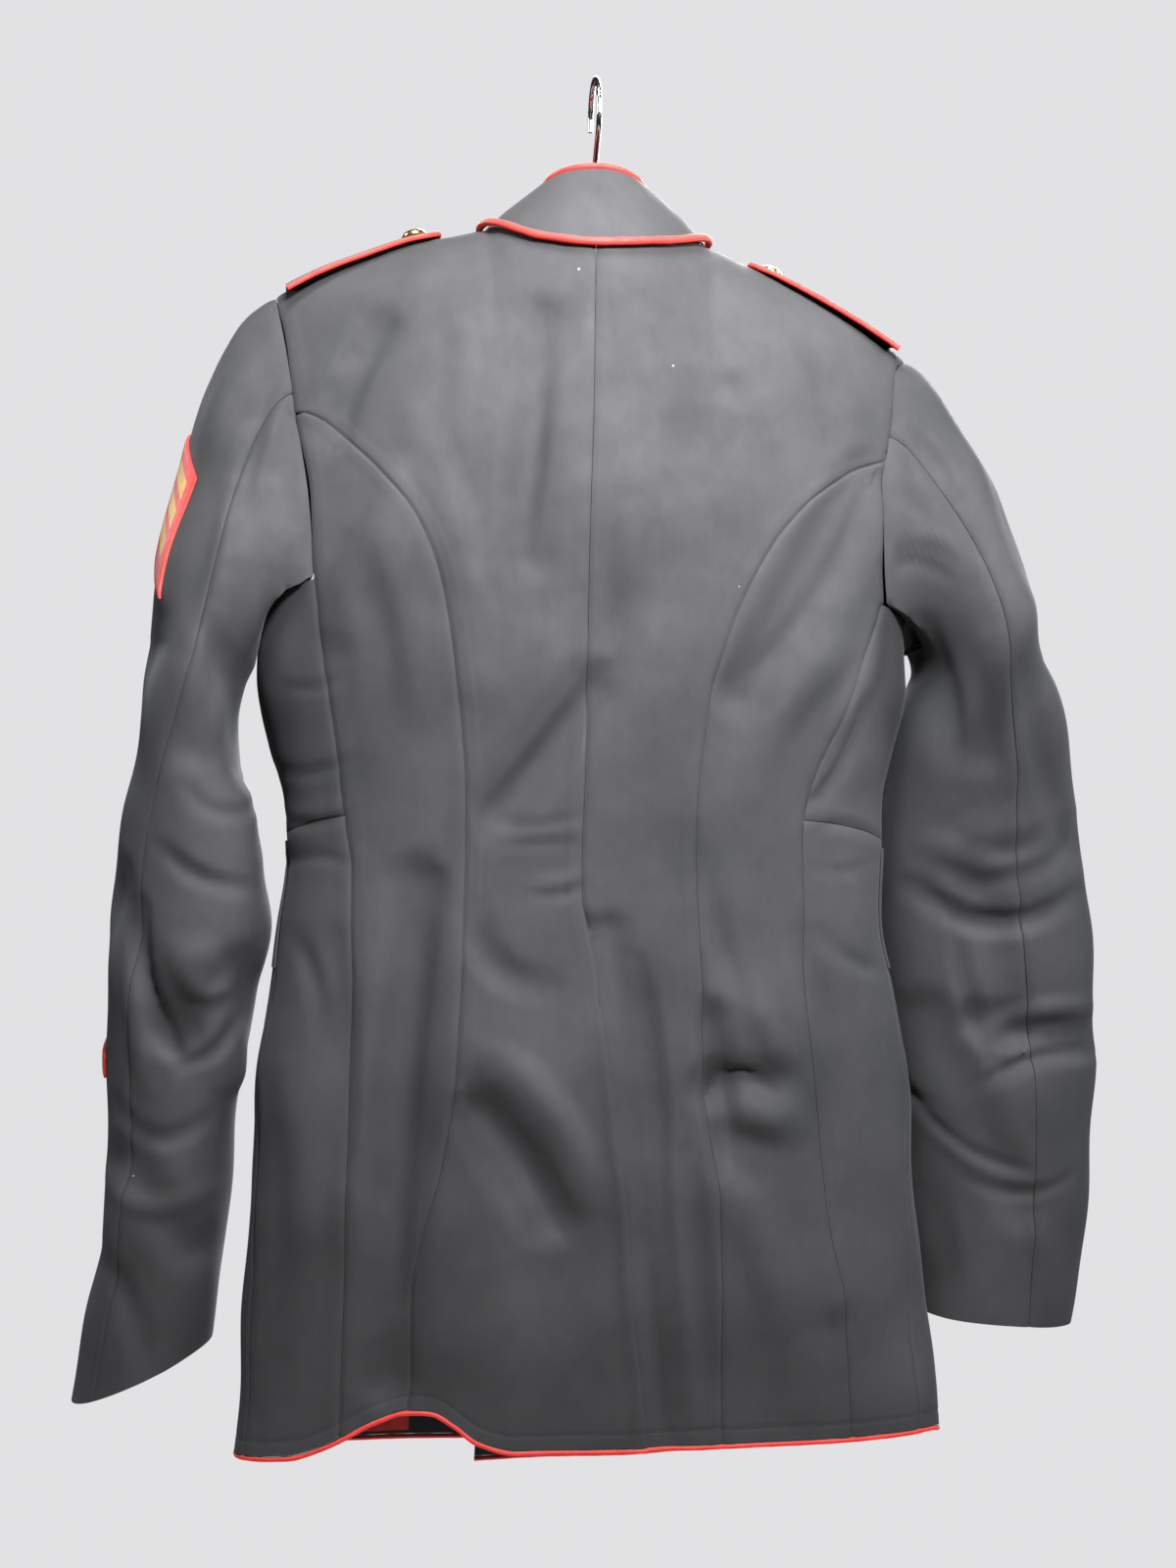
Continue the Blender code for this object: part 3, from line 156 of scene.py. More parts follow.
# Sleeves by height: outer and inner edge, middle from back to front, and half depth.
SLEEVE_LEFT = {
    "z": (-340, -363, -410, -437, -470, -503, -545, -590, -646, -690, -736, -795),
    "outer": (261, 266, 273, 278, 282.5, 287, 288.5, 287.5, 289, 294, 303, 312),
    "inner": (207, 212, 213, 206, 197, 192, 201, 209, 216, 220, 225, 229),
    "middle": (-2, -2, -4, -5, -6, -8, -12, -17, -24, -30, -35, -40),
    "half_depth": (72, 71, 67, 65, 62, 60, 58, 56, 54, 52, 50, 48),
}
SLEEVE_RIGHT = {
    "z": (-345, -378, -410, -440, -475, -513, -550, -589, -640, -690, -735, -765),
    "outer": (-275, -289, -297, -303, -308.5, -314, -317, -320, -318, -314, -309, -304),
    "inner": (-200, -192, -184, -179, -179, -182, -188, -194, -199, -204, -209, -211),
    "middle": (-4, -10, -14, -19, -23, -26, -28, -30, -33, -36, -38, -39),
    "half_depth": (70, 62, 54, 48, 45, 43, 41, 40, 41, 42, 42, 41),
}
SLEEVE_POWER = 2.1
CAP_END = {"left_outer": -335, "left_inner": -352, "right_outer": -342, "right_inner": -360}
CUFF = {"left_outer": -790, "left_inner": -751, "right_outer": -758, "right_inner": -749}

# Sleeve seams as an angle round the sleeve, 0 outward, 90 at the back, by height.
SLEEVE_BACK_SEAM = {
    "left_z": (-200, -340, -357, -417, -472, -800),
    "left": (58, 92, 90, 66, 53, 50),
    "right_z": (-230, -345, -363, -398, -421, -800),
    "right": (62, 91, 89, 84, 82, 78),
}
SLEEVE_FRONT_SEAM = -112.0
SLEEVE_FOLDS_LEFT = {
    "x0": (286, 250, 232, 262, 275),
    "z0": (-478, -560, -520, -330, -640),
    "x1": (250, 212, 215, 240, 240),
    "z1": (-560, -530, -590, -400, -690),
    "half_width": (22, 22, 18, 22, 22),
    "depth": (-5, -5, 4, -4, -4),
}
SLEEVE_FOLDS_RIGHT = {
    "x0": (-228, -235, -232, -205, -270),
    "z0": (-472, -566, -490, -560, -330),
    "x1": (-300, -310, -256, -262, -230),
    "z1": (-456, -578, -566, -680, -400),
    "half_width": (22, 20, 22, 22, 24),
    "depth": (-5, -5, -5, -4, -4),
}

COLLAR_TOP_HALF_WIDTH = 33.4
COLLAR_TOP_CENTRE = 1.7
COLLAR_TOP_BACK = 46.0
COLLAR_TOP_FRONT = 87.0
COLLAR_TOP_POWER = 2.4
COLLAR_TOP_Z = {"angle": (-180, -120, -60, 0, 60, 120, 180), "z": (-96, -80, -69, -63, -65, -77, -96)}
COLLAR_GAP_ANGLE = 179.4
COLLAR_BULGE = 2.0

WELT_RADIUS = 2.3
WELT_CLEAR_FRONT = 2.6
WELT_CLEAR_BACK = 1.6
TOP_PIPING_RADIUS = 1.9
HEM_PIPING_RADIUS = 1.5
STRAP_PIPING_RADIUS = 1.6

STRAP_LEFT = {"x": (96, 104, 122, 146, 168, 184), "front": (-14, -22, -25, -26, -27, -28),
              "back": (8, 16, 19, 20, 21, 22)}
STRAP_RIGHT = {"x": (-96, -104, -122, -146, -168, -182), "front": (-14, -22, -25, -26, -27, -28),
               "back": (8, 16, 19, 20, 21, 22)}
STRAP_CROWN = 6.5
STRAP_HALF_WIDTH = 25.0
STRAP_GAP = 1.3

BUTTON_RADIUS = 12.5
BUTTON_HEIGHT = 6.5
FRONT_BUTTON_COUNT = 7
FRONT_BUTTON_TOP = -172.0
FRONT_BUTTON_STEP = 49.0
FRONT_BUTTON_ANGLE = 180.0
FRONT_BUTTON_GAP = 0.6
STRAP_BUTTON_RADIUS = 7.5
STRAP_BUTTON_HEIGHT = 4.5
STRAP_BUTTON_X = 108.0
STRAP_BUTTON_Y = -3.0

HOOK_WIRE_RADIUS = 1.6
HOOK_BEND_RADIUS = 20.0
HOOK_START = -25.0
HOOK_SWEEP = 216.0
HOOK_STEPS = 12
HOOK_STEM = ((0, 0, -58), (0, 2, -51), (0, 8, -43), (0, 15, -36))
HANGER_THICKNESS = 14.0
HANGER_HEIGHT = 24.0
HANGER_END = 160.0
HANGER_SINK = 1.1
HANGER_MIDDLE = 72.0
HANGER_CROWN = 5.0

# What is sewn on a sleeve: the middle column's turn, and each column's height above the first.
PATCH_STEP = 12
RANK_PATCH = {"left_turn": -2, "right_turn": -36, "left_top": -245, "right_top": -259, "tall": 70,
              "rise": (0, 10, 20, 30, 20, 10, 0)}
SERVICE_STRIPE = {"left_turn": -26, "right_turn": -66, "left_top": -549, "right_top": -563, "tall": 13,
                  "rise": (0, -5, -10, -16, -21, -27, -32)}

# Facing of the left front and the pocket slits' welts: first and last row, first and last angle or step.
FACING_ROWS = (0.9, 0.995)
FACING_ANGLES = (133.0, 154.0)
WELT_ROWS = (0.28, 0.43)
WELT_STEPS = (0.8, 5.2)
WELT_CLOTH = 1.2
WELT_GAP = 0.3

# Camera, as the photograph was taken: level, turned a little towards the coat's right.
CAMERA_YAW = 7.0
CAMERA_TARGET = (4.1, 0.0, -421.0)
CAMERA_DISTANCE = 1450.0
CAMERA_FOCAL_PIXELS = 2465.0
IMAGE_HEIGHT_PIXELS = 1600.0
SENSOR_HEIGHT = 36.0

# Creases of the cloth, finer than the body's large folds. Each is a bent line through three points, with a
# half width, a depth (troughs below zero), and a lean that makes one flank steeper than the other.
BODY_CREASES = {
    "x0": (8, -3, 39, 6, -39, 127, -155, -136, -150, -162, 69, 67, 69, 43, 46, -60, -70, -58, -84, 76,
           80, 66, 102, -15, -44, -79, -22, -113, 85, 144, 113, -55, -113, 179, 155),
    "z0": (-495, -495, -153, -359, -156, -157, -250, -342, -373, -330, -440, -459, -449, -486, -479,
           -598, -610, -551, -540, -493, -599, -577, -477, -525, -635, -653, -230, -155, -143, -288,
           -215, -466, -512, -587, -510),
    "x1": (-8, -19, 43, 35, -64, 145, -125, -102, -140, -154, 42, 42, 42, 27, 29, -79, -87, -66, -96, 66,
           55, 35, 116, -26, -53, -102, -10, -130, 80, 130, 85, -64, -130, 174, 151),
    "z1": (-665, -665, -220, -401, -190, -191, -308, -376, -407, -358, -444, -455, -450, -485, -477,
           -587, -613, -596, -568, -524, -633, -606, -576, -595, -708, -715, -286, -183, -187, -332,
           -287, -511, -569, -664, -576),
    "x2": (-24, -36, 53, 69, -84, 155, -84, -84, -121, -137, 15, 15, 18, 13, 15, -100, -107, -68, -102,
           35, 32, 12, 124, -28, -57, -116, -16, -135, 90, 124, 80, -79, -136, 179, 152),
    "z2": (-812, -812, -290, -441, -195, -225, -359, -421, -431, -387, -437, -458, -447, -479, -473,
           -602, -619, -641, -591, -538, -673, -656, -715, -680, -776, -778, -342, -217, -237, -388,
           -365, -545, -637, -741, -642),
    "half_width": (8, 6, 16, 17, 13, 14, 16, 18, 7, 12, 5, 5, 4, 4, 6, 6, 16, 13, 12, 14, 15, 16, 20, 14,
                   12, 24, 18, 16, 18, 16, 16, 12, 14, 16, 12),
    "depth": (1.1, -0.8, -2.2, -2.4, -1.4, -2.2, -2.4, 1.8, -3.0, 1.8, -1.3, -1.2, 0.8, -2.0, 1.2, -3.4,
              2.6, -2.6, 1.6, -1.6, -2.6, 2.2, -2.6, -1.8, -1.8, 2.2, 1.6, -1.6, 1.5, -1.6, 1.4, -1.6,
              -1.6, 1.6, -1.5),
    "lean": (0, 0, 0.3, -0.3, 0, 0.3, -0.4, 0, -0.5, 0, 0.2, -0.2, 0, -0.4, 0, 0.5, 0, 0.2, 0, 0, -0.4,
             0, 0.3, 0.2, 0, 0, 0, 0, 0, 0.2, 0, 0, 0, 0, 0),
}
SIDE_CREASES = {
    "x0": (187, 188, 187, 186, -125, -123, -126, 179),
    "z0": (-363, -411, -439, -468, -450, -470, -508, -511),
    "x1": (169, 169, 168, 167, -144, -143, -146, 167),
    "z1": (-366, -414, -444, -463, -445, -473, -525, -539),
    "x2": (150, 148, 147, 147, -164, -164, -166, 163),
    "z2": (-359, -406, -437, -467, -454, -467, -531, -579),
    "half_width": (5, 5, 5, 5, 5, 5, 8, 9),
    "depth": (-1.6, -1.8, -1.8, -1.6, -1.4, -1.2, -1.5, -1.6),
    "lean": (0.2, 0.2, 0.2, 0, 0, 0, 0, 0),
}
FRONT_CREASES = {
    "x0": (-60, 70, -120, 118, -40, 52, -100, 96, -150, 146, 60, -70, 120),
    "z0": (-150, -140, -180, -170, -440, -452, -430, -436, -560, -540, -330, -345, -640),
    "x1": (-72, 82, -128, 130, -66, 78, -128, 120, -140, 138, 84, -92, 112),
    "z1": (-220, -215, -235, -230, -448, -442, -446, -450, -640, -630, -380, -392, -710),
    "x2": (-74, 88, -122, 128, -92, 106, -150, 146, -134, 128, 92, -100, 110),
    "z2": (-290, -285, -290, -285, -442, -450, -436, -440, -740, -730, -430, -440, -780),
    "half_width": (18, 18, 14, 15, 9, 8, 9, 8, 18, 20, 12, 12, 16),
    "depth": (-2.4, -2.2, -2, -1.8, -0.8, -0.9, -0.8, -0.7, -2.4, -2.6, -1.8, -1.6, 2),
    "lean": (0.2, -0.2, 0, 0.2, 0, 0.2, 0, -0.2, 0.2, 0, 0, 0.2, 0),
}
SLEEVE_CREASES_LEFT = {
    "x0": (207, 263, 240, 273, 246, 254, 241, 226, 200, 221, 188, 207, 280, 286, 292, 199),
    "z0": (-300, -491, -582, -511, -511, -456, -421, -332, -309, -243, -188, -167, -607, -647, -699, -337),
    "x1": (203, 258, 218, 269, 230, 234, 221, 215, 213, 232, 200, 219, 258, 264, 275, 201),
    "z1": (-385, -539, -570, -556, -540, -472, -438, -376, -354, -288, -221, -200, -625, -665, -723, -399),
    "x2": (212, 240, 201, 264, 210, 207, 206, 214, 227, 241, 210, 228, 227, 229, 264, 204),
    "z2": (-500, -582, -534, -596, -526, -480, -432, -421, -399, -343, -265, -233, -614, -657, -764, -460),
    "half_width": (24, 8, 7, 9, 9, 8, 7, 10, 9, 14, 11, 12, 9, 10, 12, 6),
    "depth": (3.4, -3.6, -3.2, 2.0, 2.4, -2.6, -2.0, -2.4, 2.0, -1.8, -2.2, 1.6, -1.8, 1.5, -1.4, -2.4),
    "lean": (0, 0.4, -0.3, 0, 0, 0.2, 0, 0, 0, 0, 0.2, 0, 0, 0, 0, 0),
}
SLEEVE_CREASES_RIGHT = {
    "x0": (-196, -205, -239, -234, -217, -180, -190, -228, -197, -167, -168, -183, -197, -169, -194, -227,
           -259, -209, -270),
    "z0": (-483, -456, -602, -576, -497, -569, -590, -662, -617, -297, -282, -203, -189, -192, -328, -339,
           -362, -676, -683),
    "x1": (-241, -245, -272, -270, -225, -191, -218, -262, -234, -183, -189, -199, -222, -176, -208, -245,
           -270, -218, -280),
    "z1": (-504, -469, -587, -561, -546, -602, -635, -671, -653, -290, -275, -236, -230, -220, -374, -397,
           -415, -712, -713),
    "x2": (-296, -287, -312, -307, -242, -211, -266, -298, -270, -203, -213, -216, -231, -173, -216, -251,
           -285, -215, -283),
    "z2": (-488, -451, -586, -559, -588, -618, -655, -661, -663, -300, -287, -282, -281, -259, -421, -451,
           -457, -744, -749),
    "half_width": (11, 12, 8, 10, 9, 6, 6, 6, 6, 5, 7, 13, 13, 8, 12, 14, 14, 12, 14),
    "depth": (-3, 2, -3, 2.2, -3, -2.4, -2.6, -2, 1.6, -2.2, 1.4, -2, 1.6, -1.6, -2.4, 2, -2, -1.2, 1.4),
    "lean": (0.2, 0, 0.4, 0, -0.3, 0, 0.4, 0, 0, 0.3, 0, 0, 0, 0, 0.3, 0, 0, 0, 0),
}

# Every crease's depth is multiplied by this factor, and by less in proportion below this half width.
CREASE_GAIN = 2.2
FULL_GAIN_WIDTH = 13.0

# Slow unevenness all over the cloth: a wave's direction, length and height.
RIPPLES = {
    "x": (0.9, 0.3, -0.6, 0.1, 0.5),
    "y": (0.2, 0.8, 0.5, 0.3, -0.7),
    "z": (0.4, -0.5, 0.6, 1.0, 0.5),
    "length": (86, 61, 113, 74, 39),
    "height": (0.8, 0.6, 0.9, 0.55, 0.25),
}

# Seams: how far the cloth turns in at its edge, and the soft band that the pressed turnings raise beside it.
SEAM_TURN = 0.75
SEAM_TURN_WIDTH = 1.5
SEAM_BAND = 0.28
SEAM_BAND_WIDTH = 9.0
STITCH_GROOVE = 0.35
STITCH_GROOVE_WIDTH = 1.2
HEM_STITCH_RISE = 8.5
STITCH_LENGTH = 2.3
STITCH_PITCH = 3.0
STITCH_RADIUS = 0.22
GRID_STEP = 3.4

# How wide each panel is about its middle, which sets how many columns its grid has.
BACK_WIDTH = 185
SIDE_BACK_WIDTH = 62
SIDE_WIDTH = 70
FRONT_WIDTH = 210
SLEEVE_TOP_WIDTH = 190
SLEEVE_UNDER_WIDTH = 150

# Rows where the curved back seam leaves the armhole, and where the side panel is cut in two.
PRINCESS_ROW = -0.55
WAIST_ROW = 0.27

WOOL_DARK = (0.019, 0.020, 0.0205)
WOOL_LIGHT = (0.035, 0.035, 0.037)
SCARLET_DARK = (0.42, 0.012, 0.008)
SCARLET_LIGHT = (0.58, 0.024, 0.016)
BRAID_GOLD = (0.46, 0.26, 0.04)
BRAID_GROUND = (0.42, 0.016, 0.010)
FLOOR_HEIGHT = -1.6
FLOOR_RADIUS = 2.0
AMBIENT_COLOUR = (0.93, 0.95, 1.0)
AMBIENT_STRENGTH = 0.025
BACKDROP_COLOUR = (0.76, 0.755, 0.77)
LIGHT_SPREAD = 74

# Soft lights: name, place, what each is aimed at, size, power and colour.
LIGHTS = (
    ("above_behind", (-0.12, 1.05, 0.30), (0.0, 0.0, -0.2), 0.3, 11, (1.0, 0.985, 1.0)),
    ("high_behind", (0.1, 0.55, 0.75), (0.0, 0.0, -0.2), 0.4, 6, (1.0, 0.99, 1.0)),
    ("right_behind", (-1.6, 0.5, 0.3), (-0.05, 0.0, -0.35), 0.5, 5, (0.97, 1.0, 0.99)),
    ("left_side", (1.8, -0.2, 0.5), (0.1, 0.0, -0.4), 0.8, 3, (0.97, 1.0, 1.0)),
    ("front", (-0.8, -2.2, 0.9), (0, 0, -0.4), 1.6, 34, (1.0, 1.0, 1.0)),
)


class Track:
    """Monotone cubic through a table, held level past both ends."""

    def __init__(self, xs, ys):
        order = np.argsort(xs)
        self.x = np.asarray(xs, float)[order]
        self.y = np.asarray(ys, float)[order]
        slopes = np.diff(self.y) / np.diff(self.x)
        both = slopes[:-1] * slopes[1:]
        total = np.where(both > 0, slopes[:-1] + slopes[1:], 1.0)
        inner = np.where(both > 0, 2 * both / total, 0.0)
        self.tangent = np.concatenate([slopes[:1], inner, slopes[-1:]])

    def __call__(self, at):
        at = np.clip(at, self.x[0], self.x[-1])
        k = np.clip(np.searchsorted(self.x, at, side="right") - 1, 0, len(self.x) - 2)
        width = self.x[k + 1] - self.x[k]
        t = (at - self.x[k]) / width
        start = self.y[k] * (1 + 2 * t) * (1 - t) ** 2 + width * self.tangent[k] * t * (1 - t) ** 2
        return start + self.y[k + 1] * t * t * (3 - 2 * t) - width * self.tangent[k + 1] * t * t * (1 - t)


TRACKS = {}


def table(data, key, column, at):
    known = (id(data), column)
    if known not in TRACKS:
        TRACKS[known] = Track(data[key], data[column])
    return TRACKS[known](at)


def smoothstep(t):
    t = np.clip(t, 0.0, 1.0)
    return t * t * (3 - 2 * t)


def signed_power(value, power):
    return np.sign(value) * np.abs(value) ** power


def fold_height(folds, x, z):
    total = np.zeros(np.shape(x))
    for k in range(len(folds["x0"])):
        ax, az = folds["x0"][k], folds["z0"][k]
        dx, dz = folds["x1"][k] - ax, folds["z1"][k] - az
        along = np.clip(((x - ax) * dx + (z - az) * dz) / (dx * dx + dz * dz), 0, 1)
        away = np.hypot(x - ax - along * dx, z - az - along * dz)
        near = np.clip(away / folds["half_width"][k], 0, 1)
        total += folds["depth"][k] * 0.5 * (1 + np.cos(math.pi * near))
    return total


def crease_height(creases, x, z, pieces=10):
    """Height of bent creases at x, z: each fades in and out along its line, with one flank steeper."""
    total = np.zeros(np.shape(x))
    for k in range(len(creases["x0"])):
        half, lean = creases["half_width"][k], creases["lean"][k]
        reach = half * (1 + abs(lean))
        px = [creases[name][k] for name in ("x0", "x1", "x2")]
        pz = [creases[name][k] for name in ("z0", "z1", "z2")]
        inside = (x > min(px) - reach) & (x < max(px) + reach) & (z > min(pz) - reach) & (z < max(pz) + reach)
        if not inside.any():
            continue
        gx, gz = x[inside], z[inside]
        t = np.linspace(0, 1, pieces + 1)
        mid_x, mid_z = 2 * px[1] - 0.5 * (px[0] + px[2]), 2 * pz[1] - 0.5 * (pz[0] + pz[2])
        line_x = px[0] * (1 - t) ** 2 + 2 * mid_x * t * (1 - t) + px[2] * t * t
        line_z = pz[0] * (1 - t) ** 2 + 2 * mid_z * t * (1 - t) + pz[2] * t * t
        best = np.full(gx.shape, 1e9)
        side = np.zeros(gx.shape)
        share = np.zeros(gx.shape)
        for j in range(pieces):
            dx, dz = line_x[j + 1] - line_x[j], line_z[j + 1] - line_z[j]
            length = dx * dx + dz * dz + 1e-9
            along = np.clip(((gx - line_x[j]) * dx + (gz - line_z[j]) * dz) / length, 0, 1)
            ox, oz = gx - line_x[j] - along * dx, gz - line_z[j] - along * dz
            away = np.hypot(ox, oz)
            nearer = away < best
            best = np.where(nearer, away, best)
            side = np.where(nearer, np.sign(dx * oz - dz * ox), side)
            share = np.where(nearer, (j + along) / pieces, share)
        near = np.clip(best / (half * (1 + lean * side)), 0, 1)
        fade = np.sin(math.pi * np.clip(share * 0.86 + 0.07, 0, 1)) ** 0.8
        height = np.zeros(np.shape(x))
        gain = CREASE_GAIN * min(1.0, half / FULL_GAIN_WIDTH)
        height[inside] = gain * creases["depth"][k] * (1 - near ** 2) ** 2 * fade
        total += height
    return total


def ripple_height(points):
    total = 0.0
    for k in range(len(RIPPLES["x"])):
        way = np.array([RIPPLES["x"][k], RIPPLES["y"][k], RIPPLES["z"][k]])
        way = way / np.linalg.norm(way)
        total = total + RIPPLES["height"][k] * np.sin(2 * math.pi * (points @ way) / RIPPLES["length"][k] + k)
    return total


def neck_depth(x):
    """How far behind or before the shoulder line the neckline lies at x."""
    across = np.clip(np.abs(x - NECK_CENTRE) / NECK_HALF_WIDTH, 0, 1)
    return np.maximum(0.0, 1 - across ** NECK_POWER) ** (1 / NECK_POWER)


def top_line(x, behind):
    """y and z of the body's top edge at x: the shoulder line, or the neckline between its ends."""
    x = np.asarray(x, float)
    outside = np.abs(x - NECK_CENTRE) >= NECK_HALF_WIDTH
    depth = neck_depth(x)
    right, left = NECKLINE_BACK["z"][0], NECKLINE_BACK["z"][-1]
    side = 0.5 * (left + right) + 0.5 * (left - right) * (x - NECK_CENTRE) / NECK_HALF_WIDTH
    y = np.where(behind, NECK_BACK * depth, -NECK_FRONT * depth)
    z = np.where(behind, table(NECKLINE_BACK, "x", "z", x), side - NECK_FRONT_DROP * depth ** 1.6)
    return np.where(outside, 0.0, y), np.where(outside, table(SHOULDER_LINE, "x", "z", x), z)


def underarm_height(angle):
    side = np.sin(np.radians(angle))
    level = 0.5 * (UNDERARM_LEFT + UNDERARM_RIGHT) + 0.5 * (UNDERARM_LEFT - UNDERARM_RIGHT) * side
    return level - UNDERARM_SCOOP * side ** 6


def lap_depth(angle, x, z):
    """How far a lapped-under edge lies beneath the face of the cloth over it."""
    front = smoothstep((FRONT_LAP_STARTS - angle) / (FRONT_LAP_STARTS - FRONT_LAP_FULL))
    past_edge = x - table(VENT_EDGE, "z", "x", z) + VENT_LAP_REACH
    sunk = smoothstep((VENT_TOP - z) / (VENT_TOP - VENT_SUNK))
    vent = sunk * smoothstep(past_edge / VENT_LAP_SLOPE) * ((angle > -60) & (angle < 40))
    return LAP_DROP * (front + vent)


def body_base(angle, row):
    """Outer face of the body at an angle round it: row -1 is its top edge, 0 the underarm, 1 the hem."""
    angle, row = np.broadcast_arrays(np.asarray(angle, float), np.asarray(row, float))
    turn = np.radians(angle)
    across = signed_power(np.sin(turn), 2 / BODY_POWER)
    deep = np.abs(np.cos(turn)) ** (2 / BODY_POWER)
    behind = np.cos(turn) >= 0
    start = underarm_height(angle)
    upper = row < 0
    z = np.where(upper, BODY_SECTIONS["z"][0], start + (table(HEM, "angle", "z", angle) - start) * row)
    left = table(BODY_SECTIONS, "z", "left", z)
    right = table(BODY_SECTIONS, "z", "right", z)
    back, front = table(BODY_SECTIONS, "z", "back", z), table(BODY_SECTIONS, "z", "front", z)
    y = np.where(behind, back * deep, -front * deep)
    drop = np.where(upper, 1 + row, 1.0)
    left = SHOULDER_REACH + (left - SHOULDER_REACH) * drop
    right = -SHOULDER_REACH + (right + SHOULDER_REACH) * drop
    x = 0.5 * (left + right) + 0.5 * (left - right) * across
    top_y, top_z = top_line(x, behind)
    roundness = SHOULDER_ROUND + (1 - SHOULDER_ROUND) * neck_depth(x)
    out = np.maximum(0.0, 1 - (1 - drop) ** 2) ** roundness
    y = np.where(upper, top_y + (y - top_y) * out, y)
    z = np.where(upper, top_z + (start - top_z) * drop, z)
    return x, y, z


def body_point(angle, row, under=False):
    x, y, z = body_base(angle, row)
    turn = np.radians(angle)
    weight = smoothstep(np.cos(turn) * 3) * smoothstep((np.asarray(row) + 1) * 8)
    push = fold_height(BODY_FOLDS, x, z) * weight
    if under:
        push = push - lap_depth(angle, x, z)
    return np.stack([x + push * np.sin(turn), y + push * np.cos(turn), z], axis=-1)


def unit(vectors):
    return vectors / np.maximum(np.linalg.norm(vectors, axis=-1, keepdims=True), 1e-9)


def surface_normal(point_at, first, second, steps, facing):
    """Unit normals of a two-parameter surface, turned to the side that facing gives."""
    along = point_at(first + steps[0], second) - point_at(first - steps[0], second)
    down = point_at(first, second + steps[1]) - point_at(first, second - steps[1])
    normal = unit(np.cross(along, down))
    return normal * np.where((normal * facing).sum(-1, keepdims=True) > 0, 1.0, -1.0)


def body_normal(angle, row, under=False):
    angle, row = np.broadcast_arrays(np.asarray(angle, float), np.asarray(row, float))
    turn = np.radians(angle)
    facing = np.stack([np.sin(turn), np.cos(turn), np.where(row < -0.8, 0.6, 0.0)], axis=-1)
    at = np.where(np.abs(row) < 0.003, 0.004, np.maximum(row, -0.996))
    normal = surface_normal(lambda a, r: body_point(a, r, under), angle, at, (0.2, 0.003), facing)
    x = body_base(angle, row)[0]
    shoulder = (row < -0.99) & (np.abs(x - NECK_CENTRE) > NECK_HALF_WIDTH - 0.5)
    normal[..., 1] = np.where(shoulder, 0.0, normal[..., 1])
    return unit(normal)


def halve(low, high, short_of, rounds=34):
    """The values between low and high up to which short_of holds, found by halving."""
    for _ in range(rounds):
        middle = 0.5 * (low + high)
        short = short_of(middle)
        low, high = np.where(short, middle, low), np.where(short, high, middle)
    return 0.5 * (low + high)


def angle_at_x(row, side, wanted, low=0.0, high=90.0):
    """The angle between low and high, on that side, where the body's outline is wanted(z) from the middle."""
    row = np.asarray(row, float)

    def short_of(angle):
        x, _, z = body_base(side * angle, row)
        return side * x < side * wanted(z)

    return side * halve(np.full(row.shape, low), np.full(row.shape, high), short_of)


def seam_angle(name, row):
    row = np.asarray(row, float)
    if name == "centre":
        return angle_at_x(row, 1, lambda z: table(CENTRE_SEAM, "z", "x", z))
    if name == "vent":
        edge = table(VENT_EDGE, "z", "x", body_base(0, row)[2])
        return angle_at_x(row, np.where(edge > 5, 1, -1), lambda z: table(VENT_EDGE, "z", "x", z))
    side = 1 if name.endswith("left") else -1
    hand = "left" if side > 0 else "right"
    if name.startswith("princess"):
        data = PRINCESS_LEFT if side > 0 else PRINCESS_RIGHT
        return angle_at_x(row, side, lambda z: table(data, "z", "x", z))
    if name.startswith("side_back"):
        data = SIDE_BACK_LEFT if side > 0 else SIDE_BACK_RIGHT
        return angle_at_x(row, side, lambda z: table(data, "z", "x", z))
    if name.startswith("armhole_back"):
        wanted = table(ARMHOLE, "drop", "back_" + hand, row + 1)
        return angle_at_x(row, side, lambda z: wanted)
    if name.startswith("armhole_front"):
        wanted = table(ARMHOLE, "drop", "front_" + hand, row + 1)
        return angle_at_x(row, side, lambda z: wanted, 180.0, 90.0)
    return table(SIDE_FRONT, "z", hand, body_base(side * 85, row)[2])


def grid_quads(rows, columns, first=0, wrap=False):
    """Quads of a grid of points, row after row, joined round when wrapped."""
    last = columns if wrap else columns - 1
    i, j = np.meshgrid(np.arange(rows - 1), np.arange(last), indexing="ij")
    k = (j + 1) % columns
    here, below = i * columns, (i + 1) * columns
    quads = np.stack([here + j, here + k, below + k, below + j], axis=-1)
    return quads.reshape(-1, 4) + first


def add_mesh(name, points, quads, material, caps=(), sharp=55.0):
    """One closed mesh from points in millimetres, its faces turned outward, on the coat's one body."""
    points = np.asarray(points, float)
    faces = quads.tolist() + [list(cap) for cap in caps]
    fans = np.array([(face[0], face[k], face[k + 1]) for face in faces for k in range(1, len(face) - 1)])
    a, b, c = (points[fans[:, k]] for k in range(3))
    if np.einsum("ij,ij->i", a, np.cross(b, c)).sum() < 0:
        faces = [face[::-1] for face in faces]
    mesh = bpy.data.meshes.new(name)
    mesh.from_pydata((points * MM).tolist(), [], faces)
    mesh.validate()
    mesh.shade_smooth()
    mesh.set_sharp_from_angle(angle=math.radians(sharp))
    mesh.materials.append(material)
    obj = bpy.data.objects.new(name, mesh)
    bpy.context.scene.collection.objects.link(obj)
    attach(obj, "root")
    return obj


